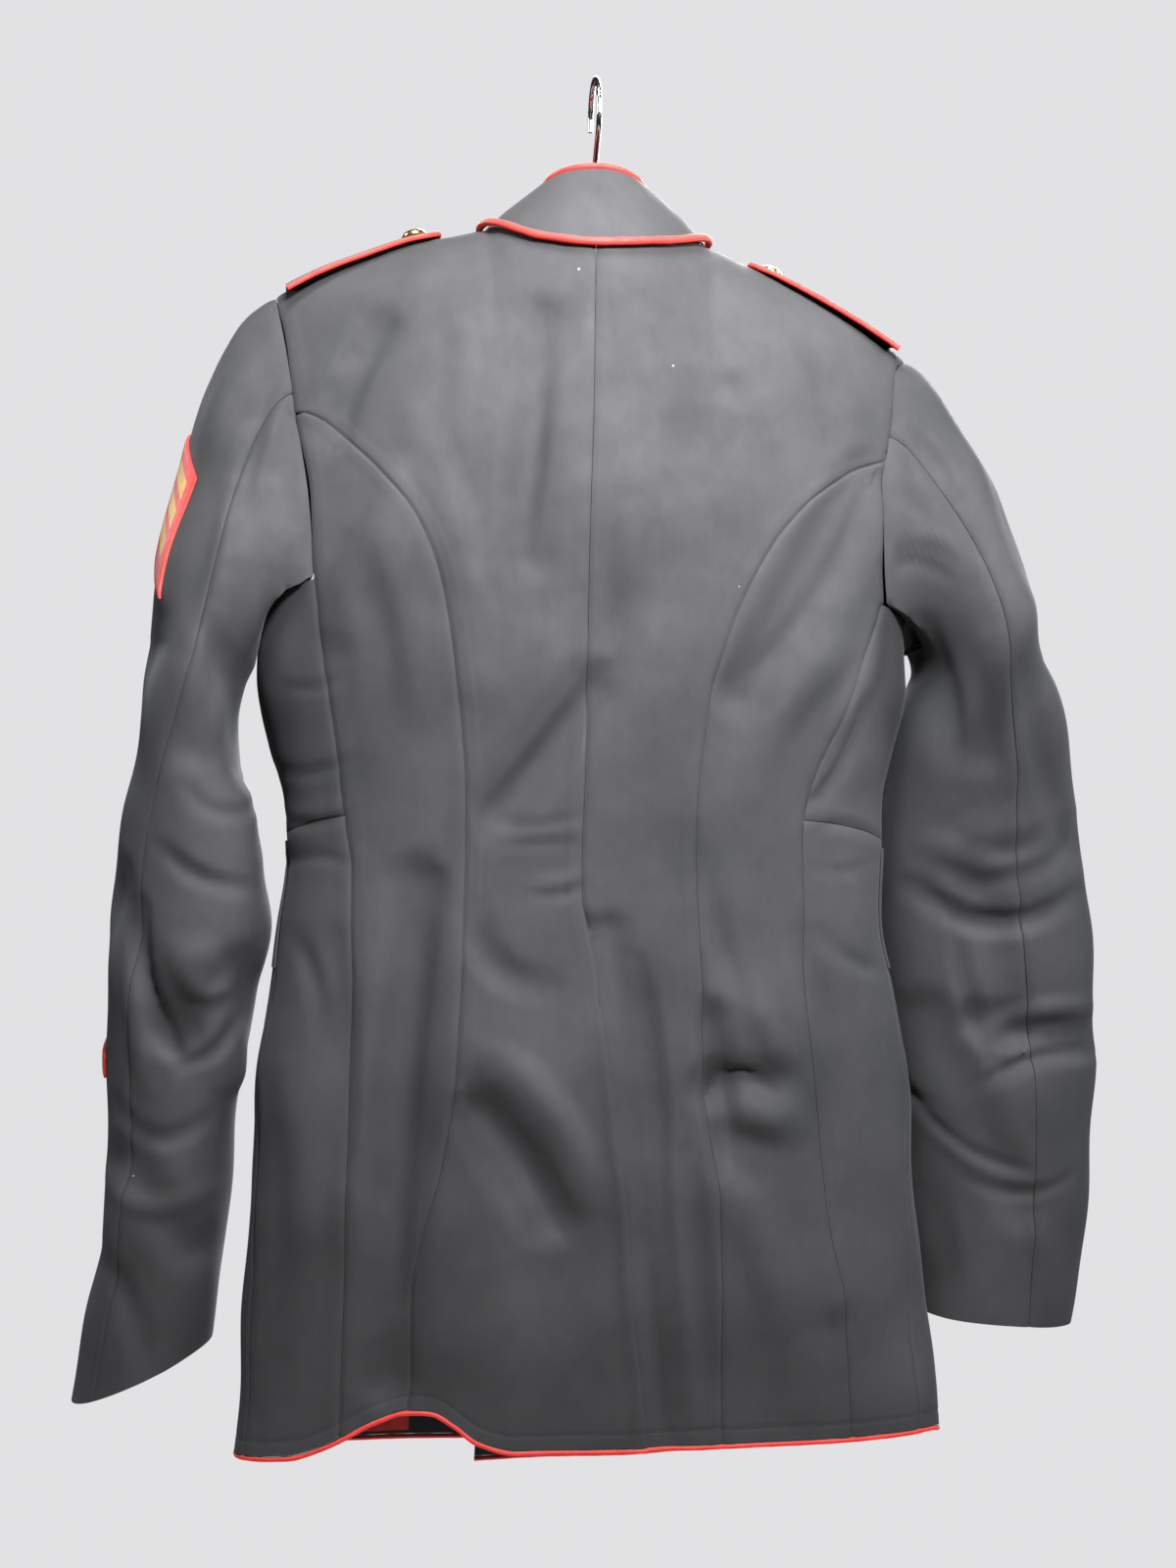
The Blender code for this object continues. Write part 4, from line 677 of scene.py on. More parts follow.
def shell(name, outer, inner, material):
    """Cloth between two grids of points, with its edges closed."""
    rows, columns = outer.shape[:2]
    shift = rows * columns
    points = np.concatenate([outer.reshape(-1, 3), inner.reshape(-1, 3)])
    front = grid_quads(rows, columns)
    back = grid_quads(rows, columns, shift)[:, ::-1]
    loop = list(range(columns)) + [i * columns + columns - 1 for i in range(1, rows)]
    loop += list(range(rows * columns - 2, (rows - 1) * columns - 1, -1))
    loop += [i * columns for i in range(rows - 2, 0, -1)]
    loop = np.array(loop)
    following = np.roll(loop, -1)
    rim = np.stack([following, loop, loop + shift, following + shift], axis=-1)
    return add_mesh(name, points, np.concatenate([front, back, rim]), material)


def lengths_along(points, axis):
    """Distance along a grid's rows or columns from its first point."""
    steps = np.linalg.norm(np.diff(points, axis=axis), axis=-1)
    start = np.zeros_like(np.take(steps, [0], axis=axis))
    return np.concatenate([start, np.cumsum(steps, axis=axis)], axis=axis)


def line_lengths(line):
    """Distance along a line of points from its first one."""
    return np.concatenate([[0], np.cumsum(np.linalg.norm(np.diff(line, axis=0), axis=1))])


def seam_relief(points, seams):
    """Height of the cloth beside the named edges: turned in at the seam, raised over its turnings."""
    across, down = lengths_along(points, 1), lengths_along(points, 0)
    away = {"left": across, "right": across[:, -1:] - across, "top": down, "bottom": down[-1:] - down}
    height = np.zeros(across.shape)
    for side in seams:
        height -= SEAM_TURN * np.exp(-(away[side] / SEAM_TURN_WIDTH) ** 2)
        height += SEAM_BAND * smoothstep((SEAM_BAND_WIDTH + 1 - away[side]) / 2)
    return height


def stitch_groove(points, rise):
    """Height of the cloth round a line of stitches that runs at a distance above a grid's bottom edge."""
    down = lengths_along(points, 0)
    return -STITCH_GROOVE * np.exp(-(((down[-1:] - down) - rise) / STITCH_GROOVE_WIDTH) ** 2)


def draw_in(points, gap, sides):
    """Moves the named edges of a grid inward, so that neighbours stay a seam apart."""
    moved = points.copy()
    edges = {"left": (np.s_[:, 0], np.s_[:, 1]), "right": (np.s_[:, -1], np.s_[:, -2]),
             "top": (np.s_[0], np.s_[1]), "bottom": (np.s_[-1], np.s_[-2])}
    for side in sides:
        edge, inside = edges[side]
        step = points[inside] - points[edge]
        length = np.maximum(np.linalg.norm(step, axis=-1, keepdims=True), 1e-6)
        moved[edge] = moved[edge] + step / length * np.minimum(gap, 0.4 * length)
    return moved


def edge_shares(width, step=GRID_STEP):
    """Shares of a width, even in its middle and close together at both ends, where the seams are."""
    close = np.array([0, 0.7, 1.5, 2.6, 4.2, 6.4, 9.0, 11.0]) / width
    count = max(2, round((width - 22) / step))
    middle = np.linspace(close[-1], 1 - close[-1], count + 1)[1:-1]
    return np.concatenate([close, middle, 1 - close[::-1]])


def spread(first, last, width):
    """Angles of a grid, each row going from first to last."""
    return first[:, None] + (last - first)[:, None] * edge_shares(width)


def body_heights(angle, points, row):
    """Height of the creases on the body's cloth at grid points."""
    turn = np.radians(angle)
    x, z = points[..., 0], points[..., 2]
    settled = smoothstep((row + 0.97) * 8)
    back = crease_height(BODY_CREASES, x, z) * smoothstep(np.cos(turn) * 3)
    sides = crease_height(SIDE_CREASES, x, z) * smoothstep(np.cos(turn) * 4 + 0.6)
    front = crease_height(FRONT_CREASES, x, z) * smoothstep(-np.cos(turn) * 3)
    return (back + sides + front + ripple_height(points)) * settled


def cloth_panel(node, rows, angles, seams, gaps, under=False, hem=False):
    """One panel of the body as cloth, in place of the CAD node."""
    row = np.broadcast_to(rows[:, None], angles.shape)
    base = draw_in(body_point(angles, row, under), SEAM_GAP / 2, gaps)
    normals = body_normal(angles, row, under)
    relief = body_heights(angles, base, row)
    outer = base + normals * (relief + seam_relief(base, seams))[..., None]
    if hem:
        outer = outer + normals * stitch_groove(base, HEM_STITCH_RISE)[..., None]
    inner = base + normals * (relief - CLOTH)[..., None]
    piece = shell("cloth_" + node, outer, inner, MATERIALS["wool"])
    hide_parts(node)
    line = base[-1] - normals[-1] * CLOTH / 2 + relief[-1][:, None] * normals[-1]
    if hem:
        add_stitches("hem_stitches_" + node, stitch_line(outer, HEM_STITCH_RISE), normals[-1])
    return line


def cut_of(grid):
    """Width, length and area of a panel laid flat, in metres, measured along its surface."""
    width = lengths_along(grid, 1)[:, -1].max()
    length = lengths_along(grid, 0)[-1].max()
    down = grid[1:] - grid[:-1]
    across = grid[:, 1:] - grid[:, :-1]
    cells = np.linalg.norm(np.cross(down[:, :-1], across[:-1]), axis=-1)
    return float(width) * MM, float(length) * MM, float(cells.sum()) * MM * MM


def stitch_line(points, rise):
    """Points on a grid's face at a distance above its bottom edge, one for each column."""
    down = lengths_along(points, 0)
    line = []
    for j in range(points.shape[1]):
        above = down[-1, j] - down[:, j]
        line.append([np.interp(rise, above[::-1], points[::-1, j, k]) for k in range(3)])
    return np.array(line)


def add_stitches(name, line, outward):
    """Short threads along a line of points, end to end with small gaps."""
    steps = line_lengths(line)
    count = int(steps[-1] / STITCH_PITCH)
    starts = (np.arange(count) + 0.15) * STITCH_PITCH
    points, quads = [], []
    ring = np.radians([45, 135, 225, 315])
    for start in starts:
        ends = [np.array([np.interp(start + shift, steps, line[:, k]) for k in range(3)])
                for shift in (0, STITCH_LENGTH)]
        out = np.array([np.interp(start, steps, outward[:, k]) for k in range(3)])
        way = unit(ends[1] - ends[0])
        across = unit(np.cross(way, out))
        first = len(points)
        for share in (0.0, 0.25, 0.75, 1.0):
            thick = STITCH_RADIUS * (1.0 if 0 < share < 1 else 0.35)
            middle = ends[0] + (ends[1] - ends[0]) * share + out * (0.1 if 0 < share < 1 else -0.1)
            points += [middle + across * thick * math.cos(a) + out * thick * math.sin(a) for a in ring]
        quads.append(grid_quads(4, 4, first, True))
        quads.append(np.array([[first + 3, first + 2, first + 1, first],
                               [first + 12, first + 13, first + 14, first + 15]]))
    piece = add_mesh(name, points, np.concatenate(quads), MATERIALS["thread"])


def body_panels():
    """The ten panels of the body. Gives the hem line of each half, from the vent to the front edge."""
    hems = {}
    # Rows from the top edge to the hem, close together at both.
    fine = np.concatenate([np.linspace(-1, -0.94, 9)[:-1], np.linspace(-0.94, 0, 76)[:-1],
                           np.linspace(0, 0.965, 142)[:-1], np.linspace(0.965, 1, 16)])
    for side, hand in ((1, "left"), (-1, "right")):
        z = body_base(0, fine)[2]
        inner_edge = np.where(z > VENT_TOP, seam_angle("centre", fine), seam_angle("vent", fine))
        if side < 0:
            grown = smoothstep((VENT_SUNK - z) / (VENT_SUNK - VENT_LAPPED))
            edge = table(VENT_EDGE, "z", "x", z)
            wanted = edge + (VENT_LAP_EDGE - edge) * grown
            lapped = angle_at_x(fine, np.where(wanted > 5, 1, -1), lambda height: wanted)
            inner_edge = np.where(z > VENT_SUNK - VENT_CLEAR, inner_edge, lapped)
        armhole = seam_angle("armhole_back_" + hand, fine)
        princess = seam_angle("princess_" + hand, fine)
        outer_edge = np.where(fine < PRINCESS_ROW, armhole, princess)
        angles = spread(inner_edge, outer_edge, BACK_WIDTH)
        hem = [cloth_panel("back_" + hand, fine, angles, ("left", "right"), ("left", "right", "top"),
                           under=side < 0, hem=True)]

        lower = fine[fine >= PRINCESS_ROW - 1e-9]
        side_back = np.where(lower < 0, seam_angle("armhole_back_" + hand, lower),
                             seam_angle("side_back_" + hand, lower))
        princess = seam_angle("princess_" + hand, lower)
        angles = spread(princess, side_back, SIDE_BACK_WIDTH)
        hem.append(cloth_panel("side_back_" + hand, lower, angles, ("left", "right"), ("left", "right"),
                               hem=True))

        upper = fine[(fine >= 0) & (fine < WAIST_ROW)]
        skirt = fine[fine > WAIST_ROW]
        for node, rows, seams in (
            ("side_upper_", np.concatenate([upper, [WAIST_ROW]]), "bottom"),
            ("side_lower_", np.concatenate([[WAIST_ROW], skirt]), "top"),
        ):
            back_edge = seam_angle("side_back_" + hand, rows)
            angles = spread(back_edge, seam_angle("side_front_" + hand, rows), SIDE_WIDTH)
            gaps = ("left", "right", seams)
            line = cloth_panel(node + hand, rows, angles, gaps, gaps, hem=seams == "top")
        hem.append(line)

        front_edge = np.where(fine < 0, seam_angle("armhole_front_" + hand, fine),
                              seam_angle("side_front_" + hand, fine))
        last = FRONT_EDGE_LEFT if side > 0 else table(FRONT_EDGE_RIGHT, "row", "angle", fine)
        angles = spread(front_edge, last, FRONT_WIDTH)
        hem.append(cloth_panel("front_" + hand, fine, angles, ("left", "right"), ("left", "top"),
                               under=side < 0, hem=True))
        hems[hand] = np.concatenate(hem)
    return hems


def armhole_loop(side):
    """Turns and points of the armhole edge: 0 at the shoulder tip, 90 behind, 180 under the arm."""
    hand = "left" if side > 0 else "right"
    rows = np.concatenate([np.linspace(-1, -0.94, 8)[:-1], np.linspace(-0.94, 0, 60)])
    back = body_point(seam_angle("armhole_back_" + hand, rows), rows)
    start, end = seam_angle("side_back_" + hand, 0.0), seam_angle("side_front_" + hand, 0.0)
    under = body_point(start + (end - start) * np.linspace(0, 1, 21), 0.0)
    front = body_point(seam_angle("armhole_front_" + hand, rows[::-1]), rows[::-1])
    loop = np.concatenate([back, under[1:-1], front])
    lowest = len(back) - 1 + 10
    gone = line_lengths(loop)
    turns = np.where(np.arange(len(loop)) <= lowest, 180 * gone / gone[lowest],
                     180 + 180 * (gone - gone[lowest]) / (gone[-1] - gone[lowest]))
    return turns, loop


class Sleeve:
    """One sleeve's outer face. turn goes round it, run down it: 0 armhole, 1 below the cap, 2 cuff."""

    def __init__(self, side):
        self.side = side
        self.hand = "left" if side > 0 else "right"
        self.sections = SLEEVE_LEFT if side > 0 else SLEEVE_RIGHT
        self.folds = SLEEVE_FOLDS_LEFT if side > 0 else SLEEVE_FOLDS_RIGHT
        self.creases = SLEEVE_CREASES_LEFT if side > 0 else SLEEVE_CREASES_RIGHT
        self.turns, self.loop = armhole_loop(side)

    def level(self, data, turn):
        share = 0.5 * (1 - np.cos(np.radians(turn)))
        return data[self.hand + "_outer"] + (data[self.hand + "_inner"] - data[self.hand + "_outer"]) * share

    def armhole(self, turn):
        return np.stack([np.interp(turn % 360, self.turns, self.loop[:, k]) for k in range(3)], axis=-1)

    def tube(self, turn, z):
        outer = table(self.sections, "z", "outer", z)
        inner = table(self.sections, "z", "inner", z)
        angle = np.radians(turn)
        x = 0.5 * (outer + inner) + 0.5 * (outer - inner) * signed_power(np.cos(angle), 2 / SLEEVE_POWER)
        deep = table(self.sections, "z", "half_depth", z)
        y = table(self.sections, "z", "middle", z) + deep * signed_power(np.sin(angle), 2 / SLEEVE_POWER)
        return np.stack(np.broadcast_arrays(x, y, z), axis=-1)

    def point(self, turn, run):
        turn, run = np.broadcast_arrays(np.asarray(turn, float), np.asarray(run, float))
        angle = np.radians(turn)
        top = self.level(CAP_END, turn)
        start, end = self.armhole(turn), self.tube(turn, top)
        reach = np.linalg.norm(end - start, axis=-1, keepdims=True)
        rise = 0.5 * (1 + np.cos(angle))
        sideways = np.full(turn.shape, float(self.side))
        leave = unit(np.stack([sideways, 0.15 * np.sin(angle), -0.1 - 0.35 * rise], axis=-1)) * 0.62 * reach
        arrive = (self.tube(turn, top - 6) - end) / 6 * 0.93 * reach
        t = np.clip(run, 0, 1)[..., None]
        cap = start * (1 + 2 * t) * (1 - t) ** 2 + leave * t * (1 - t) ** 2
        cap = cap + end * t * t * (3 - 2 * t) - arrive * t * t * (1 - t)
        z = top + (self.level(CUFF, turn) - top) * (np.maximum(run, 1) - 1)
        below = (run > 1)[..., None]
        point = np.where(below, self.tube(turn, z), cap) + np.array([self.side * SEAM_GAP, 0, 0])
        weight = np.where(run > 1, 1.0, smoothstep(run * 2.5)) * smoothstep(np.sin(angle) * 2.5)
        push = fold_height(self.folds, point[..., 0], point[..., 2]) * weight
        out = np.stack([self.side * np.cos(angle), np.sin(angle), np.zeros(turn.shape)], axis=-1)
        return point + push[..., None] * out

    def normal(self, turn, run):
        turn, run = np.broadcast_arrays(np.asarray(turn, float), np.asarray(run, float))
        angle = np.radians(turn)
        high = run < 0.6
        facing = np.stack([self.side * np.where(high, 0.2, np.cos(angle)), np.sin(angle),
                           np.where(high, np.cos(angle), 0.0)], axis=-1)
        at = np.where(np.abs(run - 1) < 0.01, 1.01, np.maximum(run, 0.004))
        return surface_normal(self.point, turn, at, (1.0, 0.004), facing)

    def back_seam(self, run):
        start = SLEEVE_BACK_SEAM[self.hand][0]
        end = table(SLEEVE_BACK_SEAM, self.hand + "_z", self.hand, self.level(CAP_END, 90))
        top = self.level(CAP_END, 80)
        z = top + (self.level(CUFF, 80) - top) * (run - 1)
        lower = table(SLEEVE_BACK_SEAM, self.hand + "_z", self.hand, z)
        return np.where(run <= 1, start + (end - start) * smoothstep(run), lower)

    def front_seam(self, run):
        return np.full(np.shape(run), SLEEVE_FRONT_SEAM)

    def heights(self, turn, run, points):
        """Height of the creases on the sleeve's cloth: those of the back, and fewer, shifted, in front."""
        x, z = points[..., 0], points[..., 2]
        sine = np.sin(np.radians(turn))
        settled = smoothstep(run * 5)
        back = crease_height(self.creases, x, z) * smoothstep(sine * 2 + 0.4)
        front = 0.8 * crease_height(self.creases, x, z - 14) * smoothstep(-sine * 2 + 0.2)
        ease = 0.9 * np.sin(np.radians(turn) * 11 + self.side) * np.exp(-((run - 0.18) / 0.14) ** 2)
        dimples = ease * smoothstep(np.cos(np.radians(turn)) * 2 + 0.6)
        return (back + front + ripple_height(points) + dimples) * settled


def sleeve_pieces(sleeve):
    runs = np.concatenate([np.linspace(0, 1, 46)[:-1], np.linspace(1, 2, 132)])
    for node, first, last, width in (
        ("sleeve_top_", sleeve.front_seam(runs), sleeve.back_seam(runs), SLEEVE_TOP_WIDTH),
        ("sleeve_under_", sleeve.back_seam(runs), sleeve.front_seam(runs) + 360, SLEEVE_UNDER_WIDTH),
    ):
        node = node + sleeve.hand
        turn = spread(first, last, width)
        run = np.broadcast_to(runs[:, None], turn.shape)
        base = draw_in(sleeve.point(turn, run), SEAM_GAP / 2 + 0.06, ("left", "right"))
        normals = sleeve.normal(turn, run)
        relief = sleeve.heights(turn, run, base)
        outer = base + normals * (relief + seam_relief(base, ("left", "right")))[..., None]
        outer = outer - normals * (0.5 * np.exp(-(lengths_along(base, 0) / 1.6) ** 2))[..., None]
        inner = base + normals * (relief - CLOTH)[..., None]
        piece = shell("cloth_" + node, outer, inner, MATERIALS["wool"])
        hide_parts(node)
        width, length, area = cut_of(base)


def sleeve_run(sleeve, turn, z):
    """The run at which the sleeve's face reaches a height, for each turn."""
    low, high = np.full(np.shape(z), 0.05), np.full(np.shape(z), 1.999)
    return halve(low, high, lambda run: sleeve.point(turn, run)[..., 2] > z, 30)


def sleeve_patch(node, sleeve, data, material):
    """Cloth sewn on a sleeve: a band as tall as data says, bent up or down by its rise."""
    columns, rows = 61, 25
    half = (len(data["rise"]) - 1) / 2
    steps = np.linspace(-half, half, columns)
    across, down = np.meshgrid(steps, np.linspace(0, 1, rows))
    turn = data[sleeve.hand + "_turn"] + PATCH_STEP * across
    rise = np.interp(across, np.arange(len(data["rise"])) - half, data["rise"])
    z = data[sleeve.hand + "_top"] + rise - data["tall"] * down
    run = sleeve_run(sleeve, turn, z)
    normals = sleeve.normal(turn, run)
    base = sleeve.point(turn, run)
    relief = sleeve.heights(turn, run, base)
    edge = np.minimum(np.minimum(down, 1 - down) * data["tall"], (half - np.abs(across)) * 9)
    outer = base + normals * (relief + PATCH_GAP + PATCH_CLOTH - 0.5 * np.exp(-edge / 0.8))[..., None]
    inner = base + normals * (relief + 0.3)[..., None]
    piece = shell("cloth_" + node + sleeve.hand, outer, inner, material)
    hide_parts(node + sleeve.hand)
    shares = np.concatenate([np.stack([across, down], axis=-1).reshape(-1, 2)] * 2)
    for name, values in (("band", shares[:, 1]), ("inset", 1 - np.abs(shares[:, 0]) / half)):
        attribute = piece.data.attributes.new(name, "FLOAT", "POINT")
        attribute.data.foreach_set("value", values.astype(np.float32))


def tube_faces(count, sides):
    """Quads round a tube of that many rings of points, and the faces that close its ends."""
    last = count * sides
    caps = [tuple(range(sides - 1, -1, -1)), tuple(range(last - sides, last))]
    return grid_quads(count, sides, 0, True), caps


def tube_mesh(name, line, radius, material, sides=12, uneven=0.0):
    """Round cord along a line of points, its ends closed, its thickness a little uneven."""
    line = np.asarray(line, float)
    way = unit(np.gradient(line, axis=0))
    across = unit(np.cross(way, np.array([0.13, 0.21, 0.97])))
    over = np.cross(across, way)
    gone = line_lengths(line)
    thick = radius * (1 + uneven * (np.sin(gone / 3.1) + 0.6 * np.sin(gone / 1.3 + 1)))
    turn = np.linspace(0, 2 * math.pi, sides, endpoint=False)
    ring = across[:, None] * np.cos(turn)[:, None] + over[:, None] * np.sin(turn)[:, None]
    points = (line[:, None] + ring * thick[:, None, None]).reshape(-1, 3)
    quads, caps = tube_faces(len(line), sides)
    return add_mesh(name, points, quads, material, caps)


def smooth_line(points, step):
    """Points at an even step along a smooth curve through the given ones."""
    points = np.asarray(points, float)
    gone = line_lengths(points)
    at = np.linspace(0, gone[-1], max(2, round(gone[-1] / step) + 1))
    return np.stack([Track(gone, points[:, k])(at) for k in range(3)], axis=-1)


def collar_parts():
    """Standing collar with piping on its top edge and in its neck seam."""
    share = np.sin(np.linspace(0, math.pi / 2, 46))
    right_x = CENTRE_TOP_X + (NECK_CENTRE - NECK_HALF_WIDTH - CENTRE_TOP_X) * share
    left_x = CENTRE_TOP_X + (NECK_CENTRE + NECK_HALF_WIDTH - CENTRE_TOP_X) * share
    front = 0.01 + 0.99 * share
    parts = [(NECK_CENTRE - NECK_HALF_WIDTH * front, False), (right_x[::-1][1:], True),
             (left_x[1:], True), ((NECK_CENTRE + NECK_HALF_WIDTH * front)[::-1][1:], False)]
    ring = np.concatenate([np.stack([x, *top_line(x, behind)], axis=-1) for x, behind in parts])
    angle = np.degrees(np.arctan2(ring[:, 0] - NECK_CENTRE, ring[:, 1]))
    angle = np.clip(angle, -COLLAR_GAP_ANGLE, COLLAR_GAP_ANGLE)
    depth = np.where(np.cos(np.radians(angle)) > 0, COLLAR_TOP_BACK, COLLAR_TOP_FRONT)
    shape = (ring[:, 0] - NECK_CENTRE) / NECK_HALF_WIDTH
    deep = np.maximum(0, 1 - np.abs(shape) ** COLLAR_TOP_POWER) ** (1 / COLLAR_TOP_POWER)
    top = np.stack([COLLAR_TOP_CENTRE + COLLAR_TOP_HALF_WIDTH * shape, np.sign(ring[:, 1]) * depth * deep,
                    table(COLLAR_TOP_Z, "angle", "z", angle)], axis=-1)
    base = ring + np.array([0, 0, SEAM_GAP])
    along = np.gradient(ring, axis=0)
    flat = unit(np.stack([-along[:, 1], along[:, 0], np.zeros(len(ring))], axis=-1))
    normal = unit(np.cross(along, top - base))
    normal = normal * np.where((normal * flat).sum(-1, keepdims=True) > 0, 1.0, -1.0)
    levels = np.linspace(0, 1, 19)
    bulge = COLLAR_BULGE * np.sin(math.pi * levels)
    outer = base + (top - base) * levels[:, None, None] + flat * bulge[:, None, None]
    lean = flat + (normal - flat) * smoothstep(levels * 2)[:, None, None]
    outer = outer + lean * (0.5 * ripple_height(outer))[..., None]
    inner = outer - unit(lean) * COLLAR_CLOTH
    roll = 0.6 * np.exp(-((levels * 47) / 1.5) ** 2) + 0.4 * np.exp(-(((1 - levels) * 47) / 1.5) ** 2)
    piece = shell("cloth_collar", outer - lean * roll[:, None, None], inner, MATERIALS["wool"])
    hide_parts("collar")
    up = unit(top - base)
    tops = top - normal * COLLAR_CLOTH / 2 + up * (TOP_PIPING_RADIUS + SEAM_GAP)
    below = neck_normals(ring)
    clear = np.where(ring[:, 1] < 0, WELT_CLEAR_FRONT, WELT_CLEAR_BACK)
    away = WELT_RADIUS + 2 * SEAM_GAP + clear * np.maximum(0, below[:, 2])
    welts = base + (normal + below) * (away / (1 + (normal * below).sum(-1)))[:, None]
    add_piping("collar_top_piping", tops, TOP_PIPING_RADIUS)
    add_piping("collar_neck_piping", welts, WELT_RADIUS)


def neck_normals(ring):
    """Outward normals of the body just below its neckline."""
    behind = ring[:, 1] >= 0
    side = np.where(ring[:, 0] >= 0, 1, -1)
    inside = NECK_CENTRE + (ring[:, 0] - NECK_CENTRE) * 0.995
    row = np.full(len(ring), -1.0)
    back = angle_at_x(row, side, lambda z: inside)
    front = angle_at_x(row, side, lambda z: inside, 180.0, 90.0)
    return body_normal(np.where(behind, back, front), -0.985)


def add_piping(node, line, radius):
    piece = tube_mesh(node + "_cord", smooth_line(thin_out(line, 1.5), 2.2), radius, MATERIALS["scarlet"],
                      uneven=0.03)
    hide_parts(node)


def thin_out(line, least):
    """A line without the points that lie closer to the last kept one than least."""
    kept = [line[0]]
    for point in line[1:]:
        if np.linalg.norm(point - kept[-1]) > least:
            kept.append(point)
    return np.array(kept)


def strap_point(x, y):
    """Top face of a shoulder strap, a little flatter than the shoulder under it."""
    z = top_line(x, True)[1] + STRAP_CLOTH + STRAP_GAP
    return np.stack(np.broadcast_arrays(x, y, z - STRAP_CROWN * (y / STRAP_HALF_WIDTH) ** 2), axis=-1)


def strap_parts(side, data):
    hand = "left" if side > 0 else "right"
    xs = np.linspace(data["x"][0], data["x"][-1], 46)
    front = table(data, "x", "front", xs)
    back = table(data, "x", "back", xs)
    shares = np.linspace(0, 1, 25)
    y = front[:, None] + (back - front)[:, None] * shares
    outer = strap_point(xs[:, None], y)
    slope = np.gradient(outer[:, 12, 2]) / np.gradient(xs)
    up = unit(np.stack([-slope, np.zeros(len(xs)), np.ones(len(xs))], axis=-1))
    edge = np.minimum(shares, 1 - shares) * 48
    soft = -0.5 * np.exp(-edge / 1.2) - 0.3 * np.exp(-((edge - 6) / 0.9) ** 2)
    top = outer + up[:, None] * soft[None, :, None]
    piece = shell("cloth_shoulder_strap_" + hand, top, outer - up[:, None] * STRAP_CLOTH, MATERIALS["wool"])
    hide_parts("shoulder_strap_" + hand)
    centre = outer - 0.5 * STRAP_CLOTH * up[:, None]
    outline = np.concatenate([centre[::-1, 0], centre[0, 1:-1], centre[:, -1]])
    outline = thin_out(outline, 1.0)
    step = unit(np.gradient(outline, axis=0))
    out = unit(np.stack([-step[:, 1], step[:, 0], np.zeros(len(step))], axis=-1)) * side
    add_piping("strap_piping_" + hand, outline + out * (STRAP_PIPING_RADIUS + SEAM_GAP), STRAP_PIPING_RADIUS)
    x, y = side * STRAP_BUTTON_X, STRAP_BUTTON_Y
    tilt = -math.atan(float(strap_point(x + 2, y)[2] - strap_point(x - 2, y)[2]) / 4)
    place = strap_point(x, y) + np.array([0, 0, 2 * SEAM_GAP])
    add_button("strap_button_" + hand, STRAP_BUTTON_RADIUS, STRAP_BUTTON_HEIGHT, place, (0, tilt, 0))


def add_button(node, radius, height, place, turned):
    """Plain domed button with a rolled rim, turned from its profile."""
    turn = np.linspace(0, math.pi / 2, 14)
    dome = [(math.sin(a) * 0.9, 0.36 + 0.64 * math.cos(a)) for a in turn]
    rim = [(0.93, 0.3), (0.98, 0.3), (1.0, 0.22), (0.99, 0.1), (0.94, 0.03), (0.8, 0.0), (0.0, 0.0)]
    mesh = bpy.data.meshes.new(node + "_metal")
    profile = [(r * radius * MM, 0.0, h * height * MM) for r, h in dome + rim]
    mesh.from_pydata(profile, [(k, k + 1) for k in range(len(profile) - 1)], [])
    mesh.materials.append(MATERIALS["brass"])
    obj = bpy.data.objects.new(node + "_metal", mesh)
    bpy.context.scene.collection.objects.link(obj)
    screw = obj.modifiers.new("turn", "SCREW")
    screw.steps = 48
    screw.render_steps = 48
    screw.use_merge_vertices = True
    screw.merge_threshold = 0.00001
    screw.use_normal_calculate = True
    screw.use_smooth_shade = True
    obj.location = Vector(place * MM)
    obj.rotation_euler = turned
    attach(obj, "root")
    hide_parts(node)


def front_buttons():
    z = FRONT_BUTTON_TOP - FRONT_BUTTON_STEP * np.arange(FRONT_BUTTON_COUNT)
    low, high = np.full(len(z), -0.999), np.full(len(z), 0.999)
    rows = halve(low, high, lambda row: body_point(FRONT_BUTTON_ANGLE, row)[..., 2] > z)
    for k, row in enumerate(rows):
        normal = body_normal(FRONT_BUTTON_ANGLE, row)
        place = body_point(FRONT_BUTTON_ANGLE, row) + normal * FRONT_BUTTON_GAP
        tilt = math.atan2(math.hypot(normal[0], normal[1]), normal[2])
        turned = (tilt, 0, math.atan2(normal[0], -normal[1]))
        add_button(f"front_button_{k + 1}", BUTTON_RADIUS, BUTTON_HEIGHT, place, turned)


def hem_parts(hems):
    drop = np.array([0, 0, HEM_PIPING_RADIUS + SEAM_GAP])
    for hand, line in hems.items():
        add_piping("hem_piping_" + hand, line - drop, HEM_PIPING_RADIUS)


def sewn_on(node, row, angle, lift, thickness, roll, roll_width, material):
    """Small cloth on the body's face, or inside it when lift is negative. Gives it and its points."""
    base = body_point(angle, row)
    normals = body_normal(angle, row)
    relief = body_heights(angle, base, row)
    across = lengths_along(base, 1)
    edge = np.minimum(across, across[:, -1:] - across)
    face = base + normals * (relief + lift)[..., None]
    outer = face - normals * (roll * np.exp(-edge / roll_width))[..., None]
    piece = shell("cloth_" + node, outer, face - normals * thickness, material)
    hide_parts(node)
    return piece, base


def front_facing():
    row, angle = np.meshgrid(np.linspace(*FACING_ROWS, 26), np.linspace(*FACING_ANGLES, 26), indexing="ij")
    piece, _ = sewn_on("front_facing_left", row, angle, -(CLOTH + FACING_GAP), FACING_CLOTH, 0.35, 0.6,
                       MATERIALS["scarlet"])


